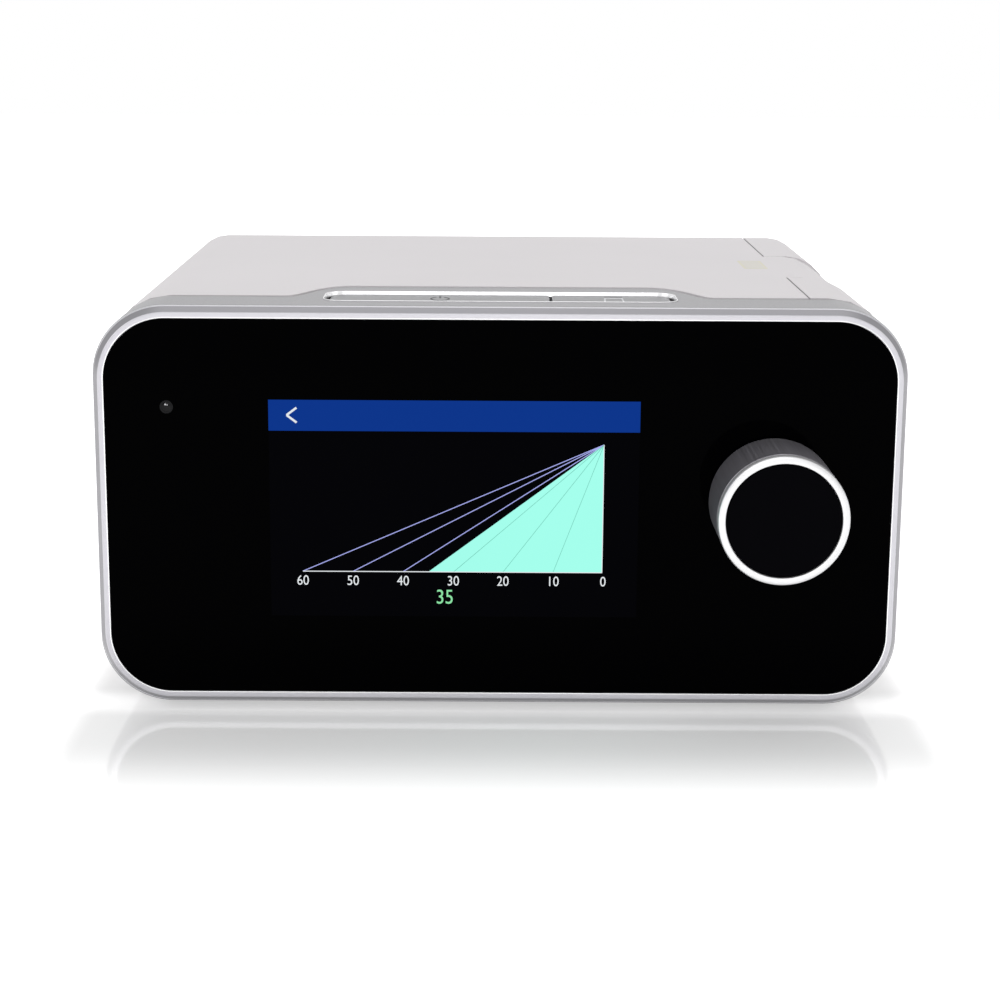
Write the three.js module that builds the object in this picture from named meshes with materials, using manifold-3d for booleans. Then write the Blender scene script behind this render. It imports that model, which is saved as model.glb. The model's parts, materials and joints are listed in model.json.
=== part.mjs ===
// A bedside CPAP machine with a heated water tank that pulls out to its right.
// X runs to the right as seen from the front, the front faces -Y and Z is up.
// Inside this file y = 0 is the face of the front glass and z = 0 is the table.
// The whole machine is shifted at the end so that y = 0 is the middle of its depth.

import * as THREE from 'three';
import { mergeVertices } from 'three/addons/utils/BufferGeometryUtils.js';
import Module from 'manifold-3d';

const wasm = await Module();
wasm.setup();

// Driving dimensions in millimetres
const front = { width: 205.4, height: 103.8, radius: 18.2 };
const rear = { taper: 5.2, radius: 10, depth: 172.3, edge: 2.6 };
const wall = 2.4;
const rib = 1.8;
const fit = 0.3;
const slideGap = 0.5;
const overcut = 4;
const weld = 0.0001;
const footDrop = 1.6;
const arcSteps = 5;
const roundSteps = 24;
const smallSteps = 10;
const postSteps = 8;
const cornerSteps = 2;
const curveSteps = 3;

const glass = { side: 3.2, edge: 3.5, corner: 2.7, thick: 1.8, hole: 9.6 };
const bezel = { face: 1.7, flare: 1.35, depth: 2.2, spigot: 6.5, ledge: 2.2 };
const frame = { rear: 19.4, wall: 2.4 };
const hump = { flat: 76, base: 109, reach: 20.5, heelShare: 0.79, shoulderShare: 0.64 };
const buttonBar = { width: 90.6, depth: 18.4, front: 10.7, split: 12.5, sink: 0.8, tilt: 3 };
const lcd = { width: 105.6, height: 67.3, thick: 3.2, rim: 1.2, slots: 5, slotWidth: 14.4, slotRadius: 3.6 };
const sensor = { rise: 26.1, dia: 3.35, length: 5 };
const knob = { rise: 3.1, dia: 32.3, reach: 24.3, gap: 1, ring: 1.9, travel: 0.7 };
const seam = { side: 23.3, gap: 0.45, split: 31.5 };
const tongue = { front: 64, rear: 115.6, inset: 1.3, drop: 15.4 };
const port = { dia: 22, bore: 18.5, reach: 20, flange: 30 };

// Places inside the case, as shares of half its width, of its depth and of its height
const acrossShares = {
  lcdShare: -0.112, sensorShare: -0.817, knobShare: 0.6724, portShare: -0.0779, jackShare: -0.0779,
  cardShare: 0.0584, screwShare: 0.0487,
  blowerShare: -0.4479, silencerLeftShare: -0.8374, silencerRightShare: -0.2337, filterLeftShare: -0.779,
  filterRightShare: -0.37,
  boardLeftShare: -0.8958, bayLeftShare: 0.1168, heaterLeftShare: 0.2337, mountShare: 0.3603,
  nozzleShare: 0.3311,
};
const deepShares = {
  blowerShare: 0.534, blowerSmallShare: 0.18, blowerLargeShare: 0.2496, mountFrontShare: 0.2438,
  mountRearShare: 0.2147, silencerShare: 0.7777,
  tankOutletShare: 0.7661, boardNearShare: 0.2089, boardFarShare: 0.7429, screwNearShare: 0.1683,
  screwMidShare: 0.2565, screwFarShare: 0.5978,
  screwRearShare: 0.8706, footNearShare: 0.2322, footRearShare: 0.917, heaterNearShare: 0.267,
  heaterFarShare: 0.8009,
};
const highShares = { portShare: 0.6782, bayHighShare: 0.9287, silencerShare: 0.948,
filterLowShare: 0.1965, filterHighShare: 0.6204 };

const halfFront = front.width / 2;
const bottom = footDrop;
const top = footDrop + front.height;
const middle = footDrop + front.height / 2;
const floorTop = bottom + wall;
const splitZ = bottom + seam.split;
const bodyStart = frame.rear + fit;
const rearHalf = halfFront - rear.taper;
const across = (share) => halfFront * share;
const deep = (share) => rear.depth * share;
const high = (share) => bottom + front.height * share;
const lcdX = across(acrossShares.lcdShare);
const sensorX = across(acrossShares.sensorShare);
const knobX = across(acrossShares.knobShare);
const seamX = halfFront - seam.side;
const portX = across(acrossShares.portShare);
const portZ = high(highShares.portShare);
const glassHalf = halfFront - glass.side;
const glassHigh = front.height / 2 - glass.edge;
const glassRadius = front.radius - glass.corner;

// Shapes and solids

function ringPoints(halfWidth, low, high, radius) {
  const points = [];
  const corners = [
    [halfWidth - radius, high - radius, 0],
    [radius - halfWidth, high - radius, 1],
    [radius - halfWidth, low + radius, 2],
    [halfWidth - radius, low + radius, 3],
  ];
  for (const [cx, cz, quarter] of corners) {
    for (let i = 0; i <= arcSteps; i += 1) {
      const angle = (quarter + i / arcSteps) * Math.PI / 2;
      points.push([cx + radius * Math.cos(angle), cz + radius * Math.sin(angle)]);
    }
  }
  return points;
}

function makeSolid(geometry) {
  let bare = geometry.clone();
  bare.deleteAttribute('normal');
  bare.deleteAttribute('uv');
  bare = mergeVertices(bare, weld);
  const position = bare.attributes.position;
  const vertProperties = new Float32Array(position.array);
  const triVerts = new Uint32Array(bare.index.array);
  return new wasm.Manifold(new wasm.Mesh({ numProp: 3, vertProperties, triVerts }));
}

function makeGeometry(solid) {
  const mesh = solid.getMesh();
  const geometry = new THREE.BufferGeometry();
  geometry.setAttribute('position', new THREE.BufferAttribute(new Float32Array(mesh.vertProperties), 3));
  geometry.setIndex(new THREE.BufferAttribute(new Uint32Array(mesh.triVerts), 1));
  return geometry;
}

const join = (first, ...rest) => rest.reduce((sum, solid) => sum.add(solid), first);
const cut = (first, ...rest) => rest.reduce((left, solid) => left.subtract(solid), first);
const keep = (first, ...rest) => rest.reduce((left, solid) => left.intersect(solid), first);

// A stack of closed rings in XZ planes, skinned and capped at both ends
function loft(rings) {
  const count = rings[0].points.length;
  const data = [];
  const faces = [];
  for (const { y, points } of rings) for (const [x, z] of points) data.push(x, y, z);
  for (let r = 0; r + 1 < rings.length; r += 1) {
    for (let i = 0; i < count; i += 1) {
      const a = r * count + i;
      const b = r * count + (i + 1) % count;
      faces.push(a, a + count, b, b, a + count, b + count);
    }
  }
  const last = (rings.length - 1) * count;
  for (let i = 1; i + 1 < count; i += 1) {
    faces.push(0, i, i + 1);
    faces.push(last, last + i + 1, last + i);
  }
  const geometry = new THREE.BufferGeometry();
  geometry.setAttribute('position', new THREE.Float32BufferAttribute(data, 3));
  geometry.setIndex(faces);
  return makeSolid(geometry);
}

const extrude = (shape, depth, curveSegments = curveSteps) =>
  new THREE.ExtrudeGeometry(shape, { depth, bevelEnabled: false, curveSegments });

function upward(shape, low, high, curveSegments) {
  return makeSolid(extrude(shape, high - low, curveSegments).translate(0, 0, low));
}

function backward(shape, near, far, curveSegments) {
  return makeSolid(extrude(shape, far - near, curveSegments).rotateX(Math.PI / 2).translate(0, far, 0));
}

function sideways(shape, left, right, curveSegments) {
  const turn = new THREE.Matrix4().makeBasis(
    new THREE.Vector3(0, 1, 0), new THREE.Vector3(0, 0, 1), new THREE.Vector3(1, 0, 0));
  return makeSolid(extrude(shape, right - left, curveSegments).applyMatrix4(turn).translate(left, 0, 0));
}

function block(x0, x1, y0, y1, z0, z1) {
  const box = new THREE.BoxGeometry(x1 - x0, y1 - y0, z1 - z0);
  return makeSolid(box.translate((x0 + x1) / 2, (y0 + y1) / 2, (z0 + z1) / 2));
}

function roundedShape(x0, x1, y0, y1, radius) {
  const shape = new THREE.Shape();
  shape.moveTo(x0 + radius, y0);
  shape.lineTo(x1 - radius, y0);
  shape.absarc(x1 - radius, y0 + radius, radius, -Math.PI / 2, 0);
  shape.lineTo(x1, y1 - radius);
  shape.absarc(x1 - radius, y1 - radius, radius, 0, Math.PI / 2);
  shape.lineTo(x0 + radius, y1);
  shape.absarc(x0 + radius, y1 - radius, radius, Math.PI / 2, Math.PI);
  shape.lineTo(x0, y0 + radius);
  shape.absarc(x0 + radius, y0 + radius, radius, Math.PI, Math.PI * 1.5);
  return shape;
}

function outlineShape(points) {
  return new THREE.Shape(points.map(([x, y]) => new THREE.Vector2(x, y)));
}

// Round pieces: a cylinder or a revolved profile about an axis through (a, b)
function upRod(x, y, radius, low, high, steps = smallSteps) {
  const rod = new THREE.CylinderGeometry(radius, radius, high - low, steps);
  return makeSolid(rod.rotateX(Math.PI / 2).translate(x, y, (low + high) / 2));
}

function backRod(x, z, radius, near, far, steps = smallSteps) {
  const rod = new THREE.CylinderGeometry(radius, radius, far - near, steps);
  return makeSolid(rod.translate(x, (near + far) / 2, z));
}

function sideRod(y, z, radius, left, right, steps = smallSteps) {
  const rod = new THREE.CylinderGeometry(radius, radius, right - left, steps);
  return makeSolid(rod.rotateZ(-Math.PI / 2).translate((left + right) / 2, y, z));
}

function revolve(profile, steps) {
  return new THREE.LatheGeometry(profile.map(([r, h]) => new THREE.Vector2(r, h)), steps);
}

// Revolved about an axis along Y: profile heights are measured along +Y
const backRevolve = (x, z, profile, steps = roundSteps) => makeSolid(revolve(profile, steps).translate(x,
  0, z));

// Revolved about a vertical axis: profile heights are measured along +Z
const upRevolve = (x, y, profile, steps = roundSteps) =>
  makeSolid(revolve(profile, steps).rotateX(Math.PI / 2).translate(x, y, 0));

// A round tube along a curve, open at both ends
function tubeAlong(curve, radius, bore, steps, sides = duct.sides) {
  const ringAt = (r) => {
    const shape = new THREE.Shape();
    for (let i = 0; i < sides; i += 1) {
      const angle = i / sides * Math.PI * 2;
      const place = [r * Math.cos(angle), r * Math.sin(angle)];
      if (i === 0) shape.moveTo(...place);
      else shape.lineTo(...place);
    }
    shape.closePath();
    return shape;
  };
  const shape = ringAt(radius);
  if (bore > 0) shape.holes.push(ringAt(bore));
  return makeSolid(new THREE.ExtrudeGeometry(shape, { steps, extrudePath: curve, bevelEnabled: false }));
}

// The machine's cross-section, morphing from the front frame to the slimmer rear
function bodyRing(y, inset = 0, sideInset = 0) {
  const share = (y - frame.rear) / (rear.depth - frame.rear);
  const halfWidth = halfFront + (rearHalf - halfFront) * share - inset - sideInset;
  const radius = Math.max(front.radius + (rear.radius - front.radius) * share - inset, fit);
  return { y, points: ringPoints(halfWidth, bottom + inset, top - inset, radius) };
}

function bodySolid(near, far, inset = 0, sideInset = 0) {
  return loft([bodyRing(near, inset, sideInset), bodyRing(far, inset, sideInset)]);
}

// The outside of the body with its softened rear edge
function bodyOuter(sideInset = 0) {
  const steps = 3;
  const rings = [bodyRing(bodyStart, 0, sideInset)];
  for (let i = 0; i <= steps; i += 1) {
    const angle = i / steps * Math.PI / 2;
    const y = rear.depth - rear.edge + rear.edge * Math.sin(angle);
    rings.push(bodyRing(y, rear.edge * (1 - Math.cos(angle)), sideInset));
  }
  return loft(rings);
}

// Finished pieces
const machine = new THREE.Group();

function add(name, solid, color, roughness, metalness = 0) {
  const mesh = new THREE.Mesh(makeGeometry(solid), new THREE.MeshStandardMaterial({ color, roughness,
    metalness }));
  mesh.name = name;
  machine.add(mesh);
}

const paint = {
  shell: 0xdcd7da, frame: 0xadabb0, bezel: 0xdcdbe3, black: 0x050507, dark: 0x2b2b30, grey: 0x8b8d92,
  steel: 0xc3c5c8, board: 0x1f5a3a, silicone: 0xd9d9d4, clear: 0xbfd3dc, rubber: 0x26272a, knob: 0x4d4c52,
};

// Front glass, bezel and frame

const frontSection = (y, halfWidth, halfHeight, radius) =>
  ({ y, points: ringPoints(halfWidth, middle - halfHeight, middle + halfHeight, radius) });

function frontSolid(near, far, halfWidth, halfHeight, radius) {
  return loft([frontSection(near, halfWidth, halfHeight, radius), frontSection(far, halfWidth, halfHeight,
    radius)]);
}

const knobZ = middle + knob.rise;

function makeGlass() {
  const pane = frontSolid(0, glass.thick, glassHalf, glassHigh, glassRadius);
  return cut(pane, backRod(knobX, knobZ, glass.hole / 2, -overcut, glass.thick + overcut));
}

function makeBezel() {
  const grow = (extra) => [glassHalf + extra, glassHigh + extra, glassRadius + extra];
  const outer = loft([
    frontSection(0, ...grow(bezel.face)),
    frontSection(bezel.depth, ...grow(bezel.face + bezel.flare)),
  ]);
  const inside = halfFront - frame.wall - fit;
  const insideHeight = front.height / 2 - frame.wall - fit;
  const insideRadius = front.radius - frame.wall - fit;
  const sleeve = frontSolid(bezel.depth - fit, bezel.depth + bezel.spigot, inside, insideHeight,
    insideRadius);
  const pocket = frontSolid(-overcut, glass.thick + fit, ...grow(fit / 2));
  const window = frontSolid(-overcut, bezel.depth + bezel.spigot + overcut, ...grow(-bezel.ledge));
  return cut(join(outer, sleeve), pocket, window);
}

// The plan of the bulge behind the buttons: straight at the back, with S-curved ends
function humpShape(grow) {
  const flat = hump.flat / 2 + grow;
  const base = hump.base / 2 + grow;
  const heel = flat + (base - flat) * hump.heelShare;
  const shoulder = flat + (base - flat) * hump.shoulderShare;
  const near = frame.rear - frame.wall;
  const far = frame.rear + hump.reach + grow;
  const start = frame.rear + grow;
  const shape = new THREE.Shape();
  shape.moveTo(-base, near);
  shape.lineTo(base, near);
  shape.lineTo(base, start);
  shape.bezierCurveTo(heel, start, shoulder, far, flat, far);
  shape.lineTo(-flat, far);
  shape.bezierCurveTo(-shoulder, far, -heel, start, -base, start);
  return shape;
}

const barRear = buttonBar.front + buttonBar.depth;

function pillShape(shrink) {
  const half = buttonBar.width / 2 - shrink;
  return roundedShape(-half, half, buttonBar.front + shrink, barRear - shrink, buttonBar.depth / 2 - shrink);
}

function makeFrame() {
  const near = bezel.depth + fit;
  const outer = frontSolid(near, frame.rear, halfFront, front.height / 2, front.radius);
  const inner = frontSolid(near - overcut, frame.rear + overcut,
    halfFront - frame.wall, front.height / 2 - frame.wall, front.radius - frame.wall);
  const bulge = upward(humpShape(0), top - frame.wall, top, arcSteps * 2);
  const opening = upward(pillShape(0), top - frame.wall - overcut, top + overcut, arcSteps);
  const rails = [];
  const bossFar = bodyStart - lip.reach - fit;
  for (const side of [-1, 1]) {
    const x = side * frameBoss.x;
    for (const z of [bottom + frameBoss.z, top - frameBoss.z]) {
      const boss = backRod(x, z, frameBoss.dia / 2, frameBoss.near, bossFar);
      const edge = z < middle ? bottom + frame.wall / 2 : top - frame.wall / 2;
      const web = block(x - rib / 2, x + rib / 2, frameBoss.near, bossFar, Math.min(z, edge), Math.max(z,
        edge));
      rails.push(cut(join(boss, web), backRod(x, z, frameBoss.bore / 2, frameBoss.near - overcut,
        frame.rear)));
    }
  }
  return join(cut(join(cut(outer, inner), bulge), opening), ...rails);
}

const frameBoss = { x: 60, z: 9, dia: 6, bore: 2.6, near: 10.4 };

// Display, its bracket and board, and the light sensor

const display = {
  bracket: 1.2, board: 1.6, low: 13, boardLow: 20, boardDrop: 23.8, near: 11.6, chip: 1.4, knobHole: 9.3,
  chipShares: [[-0.6, -0.1, 0.08, 0.08], [-0.2, 0.2, 0.11, 0.07], [0.25, -0.2, 0.07, 0.07]],
};
const lcdBack = glass.thick + fit + lcd.thick;
const bracketNear = lcdBack + fit;
const boardNear = display.near;

function makeLcd() {
  const z = lcd.height / 2;
  const near = glass.thick + fit;
  const plate = block(lcdX - lcd.width / 2, lcdX + lcd.width / 2, near, lcdBack, middle - z, middle + z);
  const lowerLip = block(lcdX - lcd.width / 4, lcdX + lcd.width / 4, near + lcd.rim, lcdBack,
    middle - z - lcd.thick, middle - z);
  return join(plate, lowerLip);
}

function makeBracket() {
  const half = glassHalf - bezel.ledge - display.bracket - fit * 2;
  const plate = block(-half, half, bracketNear, bracketNear + display.bracket, bottom + display.low,
    top - display.low);
  const cuts = [];
  for (let i = 0; i < lcd.slots; i += 1) {
    const x = lcdX + (i - (lcd.slots - 1) / 2) * lcd.width / lcd.slots;
    cuts.push(backward(roundedShape(x - lcd.slotWidth / 2, x + lcd.slotWidth / 2, middle - lcd.height / 4,
      middle + lcd.height / 4, lcd.slotRadius), bracketNear - overcut, bracketNear + overcut, cornerSteps));
  }
  cuts.push(backRod(knobX, knobZ, display.knobHole, bracketNear - overcut, bracketNear + overcut));
  cuts.push(backRod(sensorX, middle + sensor.rise, sensor.dia, bracketNear - overcut, bracketNear + overcut));
  const tabs = [];
  for (const side of [-1, 1]) {
    for (const z of [bottom + frameBoss.z, top - frameBoss.z]) {
      const x = side * frameBoss.x;
      const lower = z < middle ? z - frameBoss.dia / 2 : top - display.low - rib;
      const upper = z < middle ? bottom + display.low + rib : z + frameBoss.dia / 2;
      const standNear = frameBoss.near - fit - display.bracket;
      const tab = block(x - frameBoss.dia, x + frameBoss.dia, bracketNear, standNear + display.bracket,
        lower, upper);
      cuts.push(backRod(x, z, frameBoss.bore / 2 + fit, bracketNear - overcut, frameBoss.near + overcut));
      tabs.push(tab);
    }
  }
  return cut(join(plate, ...tabs), ...cuts);
}

function makeDisplayBoard() {
  const half = glassHalf - display.low;
  const plate = block(-half, half, boardNear, boardNear + display.board,
    bottom + display.boardLow, top - display.boardDrop);
  const parts = [];
  for (const [xShare, zShare, wShare, hShare] of display.chipShares) {
    const x = half * xShare;
    const z = middle + front.height / 2 * zShare;
    parts.push(block(x - half * wShare, x + half * wShare, boardNear + display.board / 2,
      boardNear + display.board + display.chip, z - half * hShare, z + half * hShare));
  }
  return join(plate, ...parts);
}

// Rotary push encoder: a fixed body and bushing, and a plunger that the knob sits on

const encoder = { size: 12.4, near: 4.6, bushing: 7, bushFront: -0.4, shaft: 6, shaftFront: -18,
  flat: 1.5, tail: 8.2 };

function makeEncoderBody() {
  const half = encoder.size / 2;
  const can = block(knobX - half, knobX + half, encoder.near, boardNear - fit, knobZ - half, knobZ + half);
  const bushing = backRod(knobX, knobZ, encoder.bushing / 2, encoder.bushFront, encoder.near + rib);
  const bore = backRod(knobX, knobZ, encoder.shaft / 2 + fit / 2, -overcut,
    encoder.tail + knob.travel + fit * 2);
  return cut(join(can, bushing), bore);
}

function makeEncoderShaft() {
  const rod = backRod(knobX, knobZ, encoder.shaft / 2, encoder.shaftFront, encoder.tail);
  const flatSide = block(knobX - encoder.shaft, knobX + encoder.shaft, encoder.shaftFront - overcut,
    encoder.bushFront - knob.gap, knobZ + encoder.shaft / 2 - encoder.flat, knobZ + encoder.shaft);
  return cut(rod, flatSide);
}

const skirt = { wall: 1.6, hub: 10, chamfer: 0.7, ringDepth: 2.4, sink: 0.4 };

function makeKnobBody() {
  const radius = knob.dia / 2;
  const nearEnd = -knob.gap;
  const farEnd = -knob.reach + skirt.ringDepth + fit;
  const webTop = encoder.shaftFront - fit;
  const profile = [
    [0, farEnd], [radius, farEnd], [radius, nearEnd - skirt.chamfer], [radius - skirt.chamfer, nearEnd],
    [radius - skirt.wall, nearEnd], [radius - skirt.wall, webTop], [skirt.hub / 2, webTop],
    [skirt.hub / 2, nearEnd - knob.gap], [0, nearEnd - knob.gap],
  ];
  const bore = backRod(knobX, knobZ, encoder.shaft / 2 + fit, encoder.shaftFront - fit, overcut);
  return cut(backRevolve(knobX, knobZ, profile), bore);
}

function makeKnobRing() {
  const radius = knob.dia / 2;
  const inner = radius - knob.ring;
  const back = -knob.reach + skirt.ringDepth;
  const profile = [
    [inner, back], [radius, back], [radius, -knob.reach + skirt.chamfer], [radius - skirt.chamfer,
      -knob.reach],
    [inner + skirt.chamfer / 2, -knob.reach], [inner, -knob.reach + skirt.chamfer / 2], [inner, back],
  ].reverse();
  return backRevolve(knobX, knobZ, profile, roundSteps + smallSteps);
}

function makeKnobFace() {
  const radius = knob.dia / 2 - knob.ring - fit / 2;
  const near = -knob.reach + skirt.sink;
  const back = -knob.reach + skirt.ringDepth;
  const dish = skirt.sink / 2;
  const profile = [[0, near + dish], [radius / 2, near + dish / 2], [radius - dish, near], [radius,
    near + dish],
    [radius, back], [0, back]];
  return backRevolve(knobX, knobZ, profile);
}

// Two top buttons in one pill-shaped opening, on a small board with two switches

const button = { gap: 0.35, flange: 1.2, flangeDrop: 0.35, post: 4.4 };
const switches = { size: 6.2, height: 3.4, stem: 3.4, stemRise: 1.1, board: 1.6, depth: 11, rest: 0.8,
  floor: 12.4 };
const buttonBoardTop = top - switches.floor;
const switchTop = buttonBoardTop + fit + switches.height + switches.stemRise;
const barMiddle = (buttonBar.front + barRear) / 2;

function makeButton(x0, x1, leftRound, rightRound) {
  const half = buttonBar.width / 2;
  const shell = upward(pillShape(button.gap), top - frame.wall - button.flangeDrop - button.flange, top,
    arcSteps);
  const flange = upward(pillShape(-button.flange), top - frame.wall - button.flangeDrop - button.flange,
    top - frame.wall - button.flangeDrop, arcSteps);
  const outX0 = leftRound ? -half - overcut : x0 + button.gap;
  const outX1 = rightRound ? half + overcut : x1 - button.gap;
  const deepest = buttonBar.depth * Math.tan(buttonBar.tilt * Math.PI / 180);
  const slope = sideways(outlineShape([
    [barRear + button.gap, top - buttonBar.sink], [barRear + button.gap, top + overcut],
    [buttonBar.front - overcut, top + overcut], [buttonBar.front - button.gap,
      top - buttonBar.sink - deepest],
  ]), -half - overcut, half + overcut);
  const slice = block(outX0, outX1, 0, barRear + overcut, 0, top + overcut);
  const x = (Math.max(outX0, -half) + Math.min(outX1, half)) / 2;
  const post = upRod(x, barMiddle, button.post / 2, switchTop + switches.rest,
    top - frame.wall - button.flangeDrop - button.flange / 2);
  return join(keep(cut(join(shell, flange), slope), slice), post);
}

const barHalf = buttonBar.width / 2;
const leftButtonX = (-barHalf + buttonBar.split - button.gap) / 2;
const rightButtonX = (barHalf + buttonBar.split + button.gap) / 2;

function makeSwitch(x) {
  const half = switches.size / 2;
  const can = block(x - half, x + half, barMiddle - half, barMiddle + half,
    buttonBoardTop + fit, buttonBoardTop + fit + switches.height);
  return join(can, upRod(x, barMiddle, switches.stem / 2, buttonBoardTop + fit, switchTop));
}

function makeButtonBoard() {
  const half = barHalf - switches.size;
  return block(-half, half, barMiddle - switches.depth / 2, barMiddle + switches.depth / 2,
    buttonBoardTop - switches.board, buttonBoardTop);
}

// Housing: top shell with its tongue, base, rear cover and the tank's side cover

const lip = { reach: 4.6, thick: 1.5, clear: 3 };
const rearPanel = { side: 9.5, seam: 7.4, margin: 8.4, radius: 8, step: 1.6, hookShare: 0.7 };
const panelLeft = rearPanel.side - rearHalf;
const panelRight = seamX - rearPanel.seam;
const panelLow = bottom + rearPanel.margin;
const panelHigh = top - rearPanel.margin;
const screw = { dia: 3, head: 5.6, headHeight: 2.2, hole: 3.6, boss: 7.2, sink: 1.2, grip: 12, side: 10.7 };
const screwPlaces = [
  [screw.side - halfFront, deep(deepShares.screwNearShare)],
  [screw.side - halfFront + rib, deep(deepShares.screwRearShare)],
  [across(acrossShares.screwShare), deep(deepShares.screwMidShare)],
  [across(acrossShares.screwShare), deep(deepShares.screwFarShare)],
];
const foot = { dia: 15, sink: 1, side: 21.7, seam: 13.4 };
const footPlaces = [deep(deepShares.footNearShare), deep(deepShares.footRearShare)].flatMap((y) =>
  [[foot.side - halfFront, y], [seamX - foot.seam, y]]);

const tongueLow = top - tongue.drop;
const farLeft = -front.width;
const farRight = front.width;
const farUp = front.height * 2;

function shellRegion(low, high) {
  return block(farLeft, seamX, -overcut, rear.depth + overcut, low, high);
}

function tongueRegion(grow) {
  return block(seamX - overcut, farRight, tongue.front - grow, tongue.rear + grow, tongueLow - grow, farUp);
}

function frontLip() {
  const near = bodyStart - lip.reach;
  const out = join(bodySolid(near, bodyStart + rib, wall + fit), bodySolid(bodyStart, bodyStart + rib * 2,
    wall / 2));
  const inside = bodySolid(near - overcut, bodyStart + rib * 2 + overcut, wall + fit + lip.thick);
  return cut(out, inside, block(-hump.base / 2 - lip.clear, hump.base / 2 + lip.clear, near - overcut,
    bodyStart + overcut * 2, middle, farUp));
}

const rearOpening = (grow) => backward(roundedShape(panelLeft - grow, panelRight + grow,
  panelLow - grow, panelHigh + grow, rearPanel.radius), rear.depth - wall - overcut, rear.depth + overcut);

const bodyHollow = () => bodySolid(bodyStart - overcut, rear.depth - wall, wall);

function makeTopShell() {
  const hollow = join(cut(bodyOuter(), bodyHollow()), frontLip());
  const main = cut(keep(hollow, shellRegion(splitZ + fit / 2, farUp)),
    upward(humpShape(fit), top - wall * 2, top + overcut, arcSteps * 2));
  const tongueSkin = keep(cut(bodyOuter(tongue.inset), bodySolid(bodyStart - overcut, rear.depth - wall,
    wall, tongue.inset)), tongueRegion(0));
  const bosses = screwPlaces.map(([x, y]) => cut(
    keep(upRod(x, y, screw.boss / 2, splitZ + fit, top), bodySolid(bodyStart, rear.depth, wall / 2)),
    upRod(x, y, screw.dia / 2 + fit / 2, splitZ - overcut, splitZ + screw.grip + fit * 2)));
  return join(cut(join(main, tongueSkin), rearOpening(0)), ...bosses);
}

function makeBaseShell() {
  const hollow = join(cut(bodyOuter(), bodyHollow()), frontLip());
  const shell = cut(keep(hollow, shellRegion(-overcut, splitZ - fit / 2)), rearOpening(0));
  const posts = screwPlaces.map(([x, y]) =>
    keep(upRod(x, y, screw.boss / 2, bottom, splitZ - fit), bodySolid(bodyStart, rear.depth, wall / 2)));
  for (const [x, y] of mountPlaces) posts.push(upRod(x, y, blower.post / 2, bottom + wall / 2,
    mountLow - fit, postSteps));
  for (const [x, y] of boardPosts) posts.push(upRod(x, y, board.post / 2, bottom + wall / 2,
    board.z - fit, postSteps));
  for (const [x, y] of bayPosts) posts.push(upRod(x, y, bay.post / 2, bottom + wall / 2, bay.low - fit,
    postSteps));
  for (const [x, y] of heaterPosts) posts.push(upRod(x, y, bay.post / 2, bottom + wall / 2,
    heater.low - fit, postSteps));
  posts.push(block(jackX - jack.width / 2, jackX + jack.width / 2, jackFront, jackFront + jack.length,
    bottom + wall / 2, jackZ - jack.height / 2 - fit));
  posts.push(block(cardX - card.width / 2, cardX + card.width / 2, cardFront, cardFront + card.length,
    bottom + wall / 2, cardZ - card.height / 2 - fit));
  const holes = screwPlaces.flatMap(([x, y]) => [
    upRod(x, y, screw.hole / 2, -overcut, splitZ + overcut),
    upRod(x, y, screw.head / 2 + fit, -overcut, bottom + screw.sink + screw.headHeight),
  ]);
  for (const [x, y] of footPlaces) holes.push(upRod(x, y, foot.dia / 2 + fit, -overcut, bottom + foot.sink));
  return cut(join(shell, ...posts), ...holes);
}

function makeScrew(x, y) {
  const profile = [
    [0, bottom + screw.sink - fit], [screw.head / 2, bottom + screw.sink - fit],
    [screw.head / 2, bottom + screw.sink + screw.headHeight - fit],
    [screw.dia / 2, bottom + screw.sink + screw.headHeight - fit],
    [screw.dia / 2, splitZ + screw.grip], [0, splitZ + screw.grip],
  ];
  return upRevolve(x, y, profile, postSteps);
}

function makeFoot(x, y) {
  const radius = foot.dia / 2;
  const high = bottom + foot.sink - fit;
  const profile = [[0, 0], [radius - footDrop / 2, 0], [radius, footDrop / 2], [radius, high], [0, high]];
  return upRevolve(x, y, profile, smallSteps);
}

function makeRearCover() {
  const near = rear.depth - wall;
  const plate = backward(roundedShape(panelLeft + fit, panelRight - fit, panelLow + fit,
    panelHigh - fit, rearPanel.radius - fit), near, rear.depth);
  const lugs = [];
  for (const x of [panelLeft * rearPanel.hookShare, panelRight * rearPanel.hookShare]) {
    for (const z of [panelLow, panelHigh]) {
      const inward = z < middle ? rearPanel.step * 2 : -rearPanel.step * 2;
      const edge = z + Math.sign(inward) * fit;
      const arm = [Math.min(edge, z + inward), Math.max(edge, z + inward)];
      const hook = [Math.min(z - inward, z + inward), Math.max(z - inward, z + inward)];
      lugs.push(block(x - rearPanel.radius, x + rearPanel.radius, near - fit - rib, near + rib / 2, ...arm));
      lugs.push(block(x - rearPanel.radius, x + rearPanel.radius, near - fit - rib, near - fit, ...hook));
    }
  }
  const portHole = backRod(portX, portZ, port.dia / 2 + fit, near - overcut, rear.depth + overcut,
    roundSteps);
  const jackHole = backRod(jackX, jackZ, jack.nose / 2 + fit, near - overcut, rear.depth + overcut);
  const slot = block(cardX - card.slot / 2, cardX + card.slot / 2, near - overcut, rear.depth + overcut,
    cardZ - card.slotHeight / 2, cardZ + card.slotHeight / 2);
  const window = backward(filterShape(fit), near - overcut, rear.depth + overcut);
  return cut(join(plate, ...lugs), portHole, jackHole, slot, window);
}

// Filter at the back: slotted cover that pulls straight off, and a foam pad

const filter = { radius: 5, thick: 4, slots: 7, slot: 2.4, side: 5 };
const filterLeft = across(acrossShares.filterLeftShare);
const filterRight = across(acrossShares.filterRightShare);
const filterLow = high(highShares.filterLowShare);
const filterHigh = high(highShares.filterHighShare);

const filterShape = (grow) =>
  roundedShape(filterLeft - grow, filterRight + grow, filterLow - grow, filterHigh + grow, filter.radius);

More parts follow.
